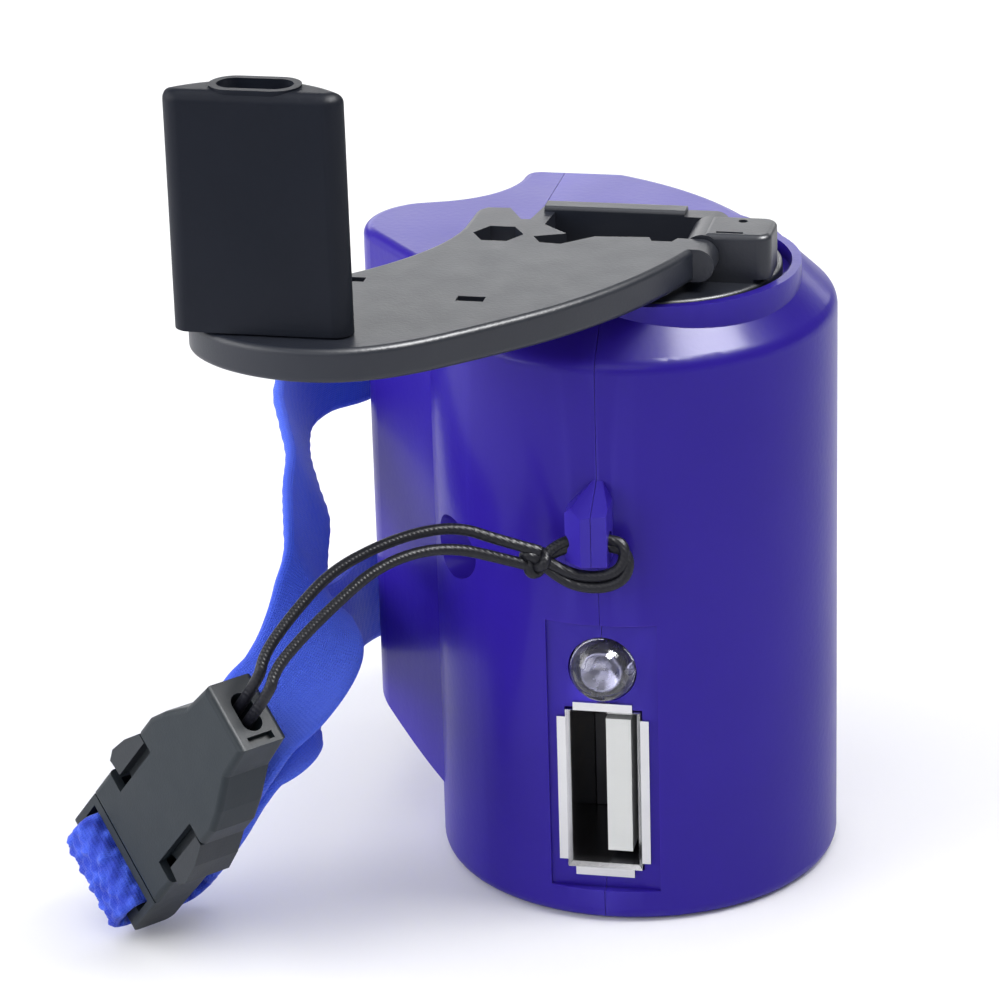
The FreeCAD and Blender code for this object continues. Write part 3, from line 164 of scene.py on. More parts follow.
# Deep in the socket the shell's inside is darkened to a painted shadow colour.
NICKEL = Finish("nickel_shell", (0.66, 0.66, 0.67), (0.52, 0.52, 0.54), rough=(0.22, 0.08), vary=5,
                grain=0.3, relief=0.003, pattern=Pattern.BRUSHED, metallic=1.0, painted_shade=(0.16, 0.16, 0.18))
CUP_METAL = Finish("cup_metal", (0.34, 0.34, 0.40), (0.24, 0.24, 0.29), rough=(0.28, 0.08), vary=1,
                   grain=0.2, relief=0.003, metallic=1.0)
GILT = Finish("gilt", (0.80, 0.58, 0.22), (0.7, 0.48, 0.17), rough=(0.25, 0.08), vary=2,
              grain=0.2, relief=0.002, pattern=Pattern.BRUSHED, metallic=1.0)
BRASS = Finish("turned_brass", (0.62, 0.42, 0.16), (0.48, 0.32, 0.12), rough=(0.3, 0.1), vary=2,
               grain=0.2, relief=0.004, pattern=Pattern.BRUSHED, metallic=1.0)
WHITE_GEAR = Finish("white_gear", (0.76, 0.76, 0.72), (0.68, 0.68, 0.62), rough=(0.45, 0.08), vary=5,
                    grain=0.3, relief=0.006, glow=0.05)
# Deep in the socket the tongue is darkened to a painted shadow colour.
WHITE_TONGUE = Finish("white_tongue", (0.66, 0.67, 0.66), (0.60, 0.61, 0.60), rough=(0.38, 0.06), vary=4,
                      grain=0.3, relief=0.004, painted_shade=(0.035, 0.035, 0.042), depth=(-12.5, -9.0))
CLEAR = Finish("clear_lamp", (0.80, 0.80, 0.94), (0.74, 0.74, 0.90), rough=(0.04, 0.02), vary=3,
               grain=0.6, relief=0.002, clear=0.95)
BOARD = Finish("board_green", (0.012, 0.10, 0.045), (0.02, 0.15, 0.07), rough=(0.35, 0.1), vary=1.5,
               grain=0.3, relief=0.01, coat=0.3)
BLACK_PART = Finish("black_part", (0.016, 0.016, 0.017), (0.026, 0.026, 0.027), rough=(0.5, 0.08), vary=1.2,
                    grain=0.12, relief=0.006)
COPPER = Finish("copper_coil", (0.48, 0.17, 0.07), (0.36, 0.11, 0.04), rough=(0.3, 0.1), vary=0.8,
                grain=0.16, relief=0.05, pattern=Pattern.WOUND, metallic=1.0)
SLEEVE = Finish("shrink_sleeve", (0.015, 0.02, 0.06), (0.03, 0.035, 0.09), rough=(0.25, 0.06), vary=2,
                grain=0.3, relief=0.004, coat=0.5)
FLOOR = Finish("pale_floor", (0.86, 0.86, 0.87), (0.83, 0.83, 0.84), rough=(0.75, 0.05), vary=60,
               grain=2.0, relief=0.01)

SLOT_FINISH = {
    "case_violet": VIOLET, "crank_charcoal": CHARCOAL, "buckle_black": BUCKLE_BLACK,
    "strap_blue": STRAP_BLUE, "cord_black": CORD_BLACK, "zinc_steel": ZINC, "nickel": NICKEL,
    "white_gear": WHITE_GEAR, "white_tongue": WHITE_TONGUE, "gilt": GILT, "brass_bush": BRASS,
    "lamp_clear": CLEAR, "board_green": BOARD, "part_black": BLACK_PART, "copper_coil": COPPER,
    "sleeve_dark": SLEEVE,
}


class NodeBench:
    """Adds shader nodes to one material and joins them."""

    def __init__(self, tree: bpy.types.NodeTree) -> None:
        """Keeps the tree, and the place on the piece that its textures read."""
        self._tree = tree
        self.where = self.add("TexCoord").outputs["Object"]

    def add(self, kind: str, values: dict | None = None, **options: object) -> bpy.types.Node:
        """Adds one node.

        Args:
            kind: Its type, without the ShaderNode in front.
            values: For each input by name or number, a number, a colour or another node's output.
            options: Settings of the node, such as its operation.

        Returns:
            The node.
        """
        node = self._tree.nodes.new("ShaderNode" + kind)
        for option, setting in options.items():
            setattr(node, option, setting)
        for slot, value in (values or {}).items():
            self.feed(node.inputs[slot], value)
        return node

    def feed(self, slot: Socket, value: object) -> None:
        """Sets an input, or joins another node's output to it.

        Args:
            slot: The input.
            value: A number, a colour or an output.
        """
        if isinstance(value, Socket):
            self._tree.links.new(value, slot)
        else:
            slot.default_value = value

    def noise(self, size: float, detail: float, where: Socket | None = None) -> Socket:
        """Smooth noise.

        Args:
            size: Size of its patches.
            detail: How many finer layers it has.
            where: Place to read it at, or None for the piece's own.

        Returns:
            The noise, from 0 to 1.
        """
        values = {"Scale": 1 / (size * MM), "Detail": detail, "Vector": where or self.where}
        return self.add("TexNoise", values).outputs["Fac"]

    def wave(self, size: float, direction: str, where: Socket | None = None, waver: float = 0.6) -> Socket:
        """Bands.

        Args:
            size: Width of a band.
            direction: X, Y or DIAGONAL.
            where: Place to read them at, or None for the piece's own.
            waver: How far they stray.

        Returns:
            The bands' height, from 0 to 1.
        """
        bands = math.tau / 20 / (size * MM)  # the texture turns by 20 radians for each unit
        values = {"Scale": bands, "Distortion": waver, "Vector": where or self.where}
        return self.add("TexWave", values, bands_direction=direction).outputs["Fac"]

    def ramp(self, value: Socket, start: float, end: float, most: float = 1.0) -> Socket:
        """What rises from 0 to most while the value goes from start to end."""
        found = self.add("MapRange", {"Value": value, "From Min": start, "From Max": end, "To Max": most})
        return found.outputs["Result"]

    def maths(self, operation: str, *values: object) -> Socket:
        """The result of one sum on up to three values."""
        return self.add("Math", dict(enumerate(values)), operation=operation).outputs["Value"]

    def mix(self, share: Socket, first: object, second: object, blend: str = "MIX") -> Socket:
        """A colour between two colours, or their product where the blend is MULTIPLY."""
        ends = {0: share, 6: self._rgba(first), 7: self._rgba(second)}
        return self.add("Mix", ends, data_type="RGBA", blend_type=blend).outputs[2]

    @staticmethod
    def _rgba(colour: object) -> object:
        """A colour with its alpha, or the output that it is."""
        return colour if isinstance(colour, Socket) else (*colour, 1)


@dataclass
class MaterialShop:
    """Builds each finish once.

    Attributes:
        patch_detail: Finer layers in a colour's patches.
        rough_detail: Finer layers in the patches of the roughness.
        rough_finer: How many times smaller those patches are than the colour's.
        grain_detail: Finer layers in the fine grain.
        braid_detail: Finer layers in the grain of a braid.
        worn_edge: Pointiness at which wear starts and is full.
        worn_most: Share of the worn colour on a sharp edge.
        brushed: How far the grain is drawn out on each axis on brushed metal.
        weft: Spacing of a weave's weft, as a share of its warp's.
        knot_size: Size of a standing knot in the webbing.
        knot_slope: Where between the middle of a knot and its rim the hollow starts and is full.
        knot_height: Height of a knot, in heights of the weave's relief.
        hollow_painted_shadow: What the hollows between knots do to the colour.
        glow_depth: How deep light goes under a glowing surface.
        glow_spread: Share of that depth for red, green and blue.
    """

    patch_detail: float = 3.0
    rough_detail: float = 4.0
    rough_finer: float = 3.0
    grain_detail: float = 2.0
    braid_detail: float = 1.0
    worn_edge: Span = (0.53, 0.62)
    worn_most: float = 0.55
    brushed: Place = (1.0, 1.0, 0.06)
    weft: float = 0.8
    knot_size: float = 0.95
    knot_slope: Span = (0.15, 0.65)
    knot_height: float = 7.0
    # hollow_painted_shadow: Painted shadow that the colour is multiplied by in the hollows between knots.
    hollow_painted_shadow: Colour = (0.30, 0.36, 0.62)
    glow_depth: float = 2.0
    glow_spread: Colour = (0.6, 0.5, 1.0)

    def __post_init__(self) -> None:
        """Starts with no material made."""
        self._made: dict[str, bpy.types.Material] = {}

    def get(self, finish: Finish) -> bpy.types.Material:
        """The material of a finish.

        Args:
            finish: What to build.

        Returns:
            The material, made on the first call and kept.
        """
        if finish.name not in self._made:
            self._made[finish.name] = self._build(finish)
        return self._made[finish.name]

    def dress(self, piece: bpy.types.Object, finish: Finish) -> None:
        """Gives a piece one finish, in place of any it has.

        Args:
            piece: The piece.
            finish: Its finish.
        """
        piece.data.materials.clear()
        piece.data.materials.append(self.get(finish))
        LOG.info("%s: %s", piece.name, finish.name)

    def _build(self, finish: Finish) -> bpy.types.Material:
        """Makes the material of a finish.

        Args:
            finish: What to build.

        Returns:
            The material, with its colour, roughness and relief joined to the shader.
        """
        material = bpy.data.materials.new(finish.name)
        material.use_nodes = True
        bench = NodeBench(material.node_tree)
        shader = material.node_tree.nodes["Principled BSDF"]
        self._set_plain(shader, finish)
        middle, spread = finish.rough
        uneven = bench.noise(finish.vary / self.rough_finer, self.rough_detail)
        rough = bench.add("MapRange", {"To Min": middle - spread / 2, "To Max": middle + spread / 2,
                                       "Value": uneven})
        bump = bench.add("Bump", {"Distance": finish.relief * MM, "Height": self._relief(bench, finish)})
        bench.feed(shader.inputs["Base Color"], self._colour(bench, finish))
        bench.feed(shader.inputs["Roughness"], rough.outputs["Result"])
        bench.feed(shader.inputs["Normal"], bump.outputs["Normal"])
        return material

    def _set_plain(self, shader: bpy.types.Node, finish: Finish) -> None:
        """Sets the numbers that are the same all over the surface on the shader itself.

        Args:
            shader: The shader.
            finish: Whose numbers they are.
        """
        for slot, value in (("Metallic", finish.metallic), ("Coat Weight", finish.coat),
                            ("Coat Roughness", finish.coat_rough), ("Sheen Weight", finish.sheen),
                            ("Subsurface Weight", finish.glow), ("Transmission Weight", finish.clear),
                            ("Specular IOR Level", finish.shine)):
            shader.inputs[slot].default_value = value
        if finish.glow:
            shader.inputs["Subsurface Scale"].default_value = self.glow_depth * MM
            shader.inputs["Subsurface Radius"].default_value = self.glow_spread

    def _colour(self, bench: NodeBench, finish: Finish) -> Socket:
        """The base colour, with its patches, wear, and painted shadow deep in the socket and between knots.

        Args:
            bench: Where the nodes go.
            finish: Whose colour it is.

        Returns:
            The colour.
        """
        colour = bench.mix(bench.noise(finish.vary, self.patch_detail), finish.colour, finish.other)
        if finish.worn:
            pointed = bench.add("NewGeometry").outputs["Pointiness"]
            colour = bench.mix(bench.ramp(pointed, *self.worn_edge, self.worn_most), colour, finish.worn)
        # Painted shadow: the colour darkens the deeper a place lies inside the socket, along Y.
        if finish.painted_shade:
            along = bench.add("SeparateXYZ", {0: bench.where}).outputs["Y"]
            deep = bench.ramp(along, finish.depth[0] * MM, finish.depth[1] * MM)
            colour = bench.mix(deep, colour, finish.painted_shade)
        if finish.knots:
            # Painted shadow: the colour is darkened in the hollows between the standing knots.
            colour = bench.mix(self._hollows(bench, finish.knots), colour, self.hollow_painted_shadow, "MULTIPLY")
        return colour

    def _hollows(self, bench: NodeBench, span: Span) -> Socket:
        """How deep between the standing knots of a webbing a place lies.

        Args:
            bench: Where the nodes go.
            span: From and to where along the webbing the knots stand.

        Returns:
            0 on a knot and outside the span, and 1 in a hollow.
        """
        flat = bench.add("UVMap").outputs["UV"]
        along = bench.add("SeparateXYZ", {0: flat}).outputs["X"]
        inside = bench.maths("COMPARE", along, sum(span) / 2 * MM, (span[1] - span[0]) / 2 * MM)
        cells = bench.add("TexVoronoi", {"Scale": 1 / (self.knot_size * MM), "Vector": flat},
                          feature="SMOOTH_F1")
        return bench.maths("MULTIPLY", inside, bench.ramp(cells.outputs["Distance"], *self.knot_slope))

    def _relief(self, bench: NodeBench, finish: Finish) -> Socket:
        """The height of the fine relief.

        Args:
            bench: Where the nodes go.
            finish: Whose relief it is.

        Returns:
            The height, which the finish's own height scales.
        """
        size = finish.grain
        if finish.pattern is Pattern.GRAIN:
            return bench.noise(size, self.grain_detail)
        if finish.pattern is Pattern.BRUSHED:
            drawn = bench.add("VectorMath", {0: bench.where, 1: self.brushed}, operation="MULTIPLY")
            return bench.noise(size, self.grain_detail, drawn.outputs["Vector"])
        if finish.pattern is Pattern.WOUND:
            return bench.wave(size, "X")
        if finish.pattern is Pattern.BRAID:
            twist = bench.wave(size, "DIAGONAL")
            return bench.maths("MULTIPLY", twist, bench.noise(size, self.braid_detail))
        flat = bench.add("UVMap").outputs["UV"]
        warp, weft = bench.wave(size, "X", flat), bench.wave(size * self.weft, "Y", flat)
        woven = bench.maths("MULTIPLY", warp, weft)
        if not finish.knots:
            return woven
        return bench.maths("MULTIPLY_ADD", self._hollows(bench, finish.knots), -self.knot_height, woven)


# ------------------------------------------------------------------ geometry helpers
def mesh_object(name: str, bm: bmesh.types.BMesh) -> bpy.types.Object:
    """Turns a bmesh into a smooth object at the origin.

    Args:
        name: Name of the object.
        bm: Its geometry, in metres; it is freed.

    Returns:
        The linked object.
    """
    mesh = bpy.data.meshes.new(name)
    bmesh.ops.recalc_face_normals(bm, faces=bm.faces)
    for face in bm.faces:
        face.smooth = True
    bm.to_mesh(mesh)
    bm.free()
    return linked(bpy.data.objects.new(name, mesh))


def linked(found: bpy.types.Object) -> bpy.types.Object:
    """Puts an object into the scene and gives it back."""
    bpy.context.scene.collection.objects.link(found)
    return found


def in_metres(point: Sequence[float]) -> tuple[float, ...]:
    """A place in metres."""
    return tuple(value * MM for value in point)


def smooth_points(knots: Points, steps: int) -> list[tuple[float, ...]]:
    """Points on a smooth curve through knots whose first three numbers are a place.

    The curve is a cubic between each two knots, and its pace goes with the root of their distance, so that it
    doesn't overshoot where near and far knots meet.

    Args:
        knots: The knots.
        steps: Points for each stretch.

    Returns:
        The points, ending on the last knot.
    """
    spans = [math.dist(a[:3], b[:3]) ** 0.5 for a, b in zip(knots, knots[1:])]
    slopes = [[(q - p) / h for p, q in zip(a, b)] for a, b, h in zip(knots, knots[1:], spans)]
    tangents = [slopes[0]]
    for h0, h1, s0, s1 in zip(spans, spans[1:], slopes, slopes[1:]):
        tangents.append([(p * h1 + q * h0) / (h0 + h1) for p, q in zip(s0, s1)])
    tangents.append(slopes[-1])
    found = []
    for i, h in enumerate(spans):
        for step in range(steps):
            t = step / steps
            found.append(tuple(
                (1 + 2 * t) * (1 - t) ** 2 * p + t * (1 - t) ** 2 * h * m
                + t * t * (3 - 2 * t) * q + t * t * (t - 1) * h * n
                for p, q, m, n in zip(knots[i], knots[i + 1], tangents[i], tangents[i + 1])))
    return found + [tuple(knots[-1])]


@dataclass(frozen=True)
class BuckleFrame:
    """Where the buckle lies.

    Attributes:
        at: Middle of its bar end, on its broad front face.
        to_cord: Direction along it to the cord.
        to_side: Direction across it, which is squared up to the first.
        thick: Thickness of the buckle.
    """

    at: Vector = Vector((-35.29, -23.73, 7.7))
    to_cord: Vector = Vector((0.537, -0.386, 0.750))
    to_side: Vector = Vector((0.580, -0.477, -0.661))
    thick: float = 4.2

    @property
    def along(self) -> Vector:
        """Direction to the cord."""
        return self.to_cord.normalized()

    @property
    def across(self) -> Vector:
        """Direction across the buckle, square to the one along it."""
        return (self.to_side - self.along * self.along.dot(self.to_side)).normalized()

    @property
    def out(self) -> Vector:
        """Direction out of its broad face."""
        return self.across.cross(self.along)

    def point(self, a: float, b: float, c: float = 0.0) -> Vector:
        """A place from how far along, out and across the buckle it is."""
        return self.at + self.along * a + self.out * b + self.across * c


BUCKLE = BuckleFrame()


# ------------------------------------------------------------------ camera and light
@dataclass(frozen=True)
class Viewpoint:
    """The camera: its place, the way that it looks and its lens."""

    place: Place = (54.116, -294.280, 150.627)
    azimuth: float = 12.41
    elevation: float = 22.18
    roll: float = 1.73
    lens: float = 151.2
    sensor: float = 36.0
    nearest: float = 10.0

    def build(self) -> None:
        """Makes the camera and sets it as the scene's own."""
        az, el, turn = (math.radians(angle) for angle in (self.azimuth, self.elevation, self.roll))
        level = Vector((math.cos(az), math.sin(az), 0))
        back = Vector((math.sin(az) * math.cos(el), -math.cos(az) * math.cos(el), math.sin(el)))
        upright = back.cross(level)
        right = math.cos(turn) * level - math.sin(turn) * upright
        up = math.sin(turn) * level + math.cos(turn) * upright
        data = bpy.data.cameras.new("camera")
        data.lens, data.sensor_width, data.clip_start = self.lens, self.sensor, self.nearest * MM
        found = linked(bpy.data.objects.new("camera", data))
        found.matrix_world = (Matrix.Translation(Vector(self.place) * MM)
                              @ Matrix((right, up, back)).transposed().to_4x4())
        bpy.context.scene.camera = found


@dataclass(frozen=True)
class Softbox:
    """One area light, placed in metres and aimed at the case.

    Attributes:
        name: Name of the light.
        place: Where it stands.
        size: Its width and height, in metres.
        power: Its power, in watts.
        gloss_only: Whether it shows in reflections and adds no other light.
        aim: Where it points.
    """

    name: str
    place: Place
    size: Span
    power: float
    gloss_only: bool = False
    aim: Place = (0, 0, 0.03)

    def build(self) -> None:
        """Adds the light."""
        data = bpy.data.lights.new(self.name, "AREA")
        data.shape = "RECTANGLE"
        data.size, data.size_y = self.size
        data.energy = self.power
        found = linked(bpy.data.objects.new(self.name, data))
        found.location = self.place
        found.rotation_euler = (Vector(self.aim) - Vector(self.place)).to_track_quat("-Z", "Y").to_euler()
        found.visible_diffuse = not self.gloss_only


@dataclass
class Studio:
    """Pale floor, pale surround and soft lights.

    Attributes:
        shop: Where its finish comes from.
        sky: Colour of the surround.
        sky_strength: Its strength.
        floor_half: Half the floor's width, in metres.
        floor_cells: Cells along the floor.
        lights: The lights.
    """

    shop: MaterialShop
    sky: Colour = (0.95, 0.96, 1.0)
    sky_strength: float = 0.20
    floor_half: float = 3.0
    floor_cells: int = 8
    lights: tuple[Softbox, ...] = (
        Softbox("key", (-0.04, 0.02, 0.66), (0.60, 0.60), 1.7),
        Softbox("shoulder", (0.32, -0.02, 0.52), (0.22, 0.34), 1.9),
        Softbox("gleam", (0.29, -0.10, 0.54), (0.38, 0.20), 12.5, gloss_only=True),
        Softbox("front", (-0.05, -0.80, 0.45), (0.7, 0.4), 1.8),
        Softbox("left", (-0.55, -0.34, 0.34), (0.60, 0.60), 2.8),
        Softbox("side", (-0.70, -0.12, 0.30), (0.9, 0.5), 3.8),
        Softbox("low", (-0.10, 0.80, 0.24), (1.0, 0.2), 2.8),
    )

    def build(self) -> None:
        """Adds the surround, the floor and the lights."""
        scene = bpy.context.scene
        scene.view_settings.view_transform = "Standard"
        scene.world = bpy.data.worlds.new("surround")
        scene.world.use_nodes = True
        sky = scene.world.node_tree.nodes["Background"]
        sky.inputs["Color"].default_value = (*self.sky, 1)
        sky.inputs["Strength"].default_value = self.sky_strength
        bm = bmesh.new()
        cells = self.floor_cells
        bmesh.ops.create_grid(bm, x_segments=cells, y_segments=cells, size=self.floor_half)
        floor = mesh_object("floor", bm)
        self.shop.dress(floor, FLOOR)
        for light in self.lights:
            light.build()


# ------------------------------------------------------------------ cords
@dataclass(frozen=True)
class CordRoute:
    """A free cord between the knot and the buckle.

    Attributes:
        name: Name of the piece.
        node: CAD node that it stands for.
        free: Points from the knot.
        held: How far along and across the buckle its last points are, on the buckle's middle plane.
        length: Real length, in metres; not used.
    """

    name: str
    node: str
    free: Points
    held: Points
    length: float


@dataclass
class Lanyard:
    """The two cords, their loop through the lug and the knot.

    Attributes:
        shop: Where its finish comes from.
        nodes: The CAD's pieces by name.
        diameter: Thickness of the cord.
        routes: The two free cords.
        strands: Points of the two strands of the loop.
        round_steps: Steps round a cord.
        run_steps: Steps from one point of a cord to the next.
        knot_at: Middle of the knot.
        knot_scale: Size of the knot against its formula.
        knot_deep: Its depth against its width.
        knot_points: Points along the knot.
        knot_steps: Steps from one of them to the next.
    """

    shop: MaterialShop
    nodes: dict[str, bpy.types.Object]
    diameter: float = 0.85
    routes: tuple[CordRoute, ...] = (
        CordRoute("upper_cord", "cord_upper",
                  ((-3.9, -17.7, 31.3), (-6.8, -18.8, 32.5), (-9.3, -19.7, 33.7), (-12.0, -21.1, 33.8),
                   (-15.0, -22.9, 33.1), (-17.9, -24.9, 31.8), (-20.1, -27.2, 29.5), (-21.9, -29.3, 27.1)),
                  ((23.0, -0.65), (14.2, -0.65)), 0.0349),
        CordRoute("lower_cord", "cord_lower",
                  ((-4.1, -17.5, 29.9), (-6.9, -19.2, 31.3), (-9.3, -20.8, 32.5), (-11.9, -22.4, 32.8),
                   (-14.6, -24.4, 32.1), (-16.8, -26.4, 30.4), (-19.1, -28.3, 28.3), (-20.9, -30.1, 26.3)),
                  ((23.4, 0.65), (14.2, 0.65)), 0.0344),
    )
    strands: tuple[Points, ...] = (
        ((-3.4, -17.5, 31.0), (-2.3, -16.8, 32.1), (1.6, -16.7, 32.1), (2.3, -16.9, 31.6), (2.2, -17.3, 30.3),
         (1.2, -17.6, 29.6), (-0.6, -17.7, 29.45), (-2.2, -17.6, 29.8), (-3.5, -17.5, 30.5)),
        ((-3.6, -17.3, 30.6), (-2.3, -16.9, 31.5), (1.7, -16.7, 31.6), (2.6, -16.9, 30.9), (2.5, -17.3, 29.5),
         (1.3, -17.7, 28.75), (-0.6, -17.8, 28.6), (-2.4, -17.6, 29.1), (-3.7, -17.4, 30.1)),
    )
    round_steps: int = 5
    run_steps: int = 16
    knot_at: Place = (-4.25, -17.7, 30.45)
    knot_scale: float = 0.30
    knot_deep: float = 1.1
    knot_points: int = 120
    knot_steps: int = 2

    def build(self) -> None:
        """Makes the loop, the knot and both free cords."""
        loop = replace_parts(self._cord("lug_loop", self.strands), "cord_loop")
        turns = [self._knot_point(math.tau * i / self.knot_points) for i in range(self.knot_points)]
        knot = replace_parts(self._cord("cord_tied_knot", (turns,), closed=True), "cord_knot")
        carried = ((loop, knot, self.nodes["buckle_socket"]), (self.nodes["buckle_plug"],))
        for route, pieces in zip(self.routes, carried):
            held = [BUCKLE.point(a, -BUCKLE.thick / 2, c) for a, c in route.held]
            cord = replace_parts(self._cord(route.name, ([*route.free, *held],)), route.node)

    def _cord(self, name: str, strands: Sequence[Points], closed: bool = False) -> bpy.types.Object:
        """Makes a cord, dresses it and rides it on the case.

        Args:
            name: Name of the piece.
            strands: Points of each strand.
            closed: Whether each strand ends where it starts, as the knot's does.

        Returns:
            The piece.
        """
        data = bpy.data.curves.new(name, "CURVE")
        data.dimensions = "3D"
        data.bevel_depth = self.diameter / 2 * MM
        data.bevel_resolution = self.round_steps
        data.use_fill_caps = True
        data.resolution_u = self.knot_steps if closed else self.run_steps
        for points in strands:
            spline = data.splines.new("NURBS")
            spline.points.add(len(points) - 1)
            for slot, point in zip(spline.points, points):
                slot.co = (*in_metres(point), 1)
            spline.order_u = 3
            spline.use_cyclic_u = closed
            spline.use_endpoint_u = not closed
        found = linked(bpy.data.objects.new(name, data))
        self.shop.dress(found, CORD_BLACK)
        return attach(found, CASE_BODY)

    def _knot_point(self, t: float) -> Vector:
        """A place on an overhand knot that is pulled tight, from its angle."""
        x, z = math.sin(t) + 2 * math.sin(2 * t), math.cos(t) - 2 * math.cos(2 * t)
        return Vector(self.knot_at) + Vector((x, -self.knot_deep * math.sin(3 * t), z)) * self.knot_scale


# ------------------------------------------------------------------ lamp
@dataclass
class LampInside:
    """The reflector cup on its post, and the second post, as they show through the clear lamp.

    Attributes:
        shop: Where its finish comes from.
        height: Height of the lamp's axis.
        beside: How far to the right of the axis the second post stands.
        cup: How far back and how far from the axis the cup's outline and its post's are.
        post: The same for the second post.
        sides: Sides of a turned form.
        merged: Distance under which its points are one, in metres.
    """

    shop: MaterialShop
    height: float = 20.7
    beside: float = 1.6
    cup: Points = ((-14.1, 0.0), (-14.1, 0.45), (-14.9, 1.05), (-14.9, 1.15), (-14.75, 1.2), (-13.6, 1.0),
                   (-13.5, 0.3), (-9.0, 0.3), (-9.0, 0.0))
    post: Points = ((-14.6, 0.0), (-14.6, 0.3), (-9.0, 0.3), (-9.0, 0.0))
    sides: int = 24
    merged: float = 1e-7

    def build(self) -> None:
        """Makes the cup on its post and the second post, as one piece."""
        bm = bmesh.new()
        self._turn(bm, self.cup, 0.0)
        self._turn(bm, self.post, self.beside)
        inside = mesh_object("lamp_inside", bm)
        self.shop.dress(inside, CUP_METAL)
        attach(inside, CASE_BODY)

    def _turn(self, bm: bmesh.types.BMesh, outline: Points, x: float) -> None:
        """Spins an outline about a line along Y.

        Args:
            bm: Where the form goes.
            outline: (Y, distance from the line) of its points.
            x: Place of the line.
        """
        verts = [bm.verts.new(in_metres((x + far, y, self.height))) for y, far in outline]
        edges = [bm.edges.new(pair) for pair in zip(verts, verts[1:])]
        bmesh.ops.spin(bm, geom=verts + edges, cent=in_metres((x, 0, self.height)), axis=(0, 1, 0),
                       angle=math.tau, steps=self.sides, use_merge=True)
        bmesh.ops.remove_doubles(bm, verts=bm.verts, dist=self.merged)


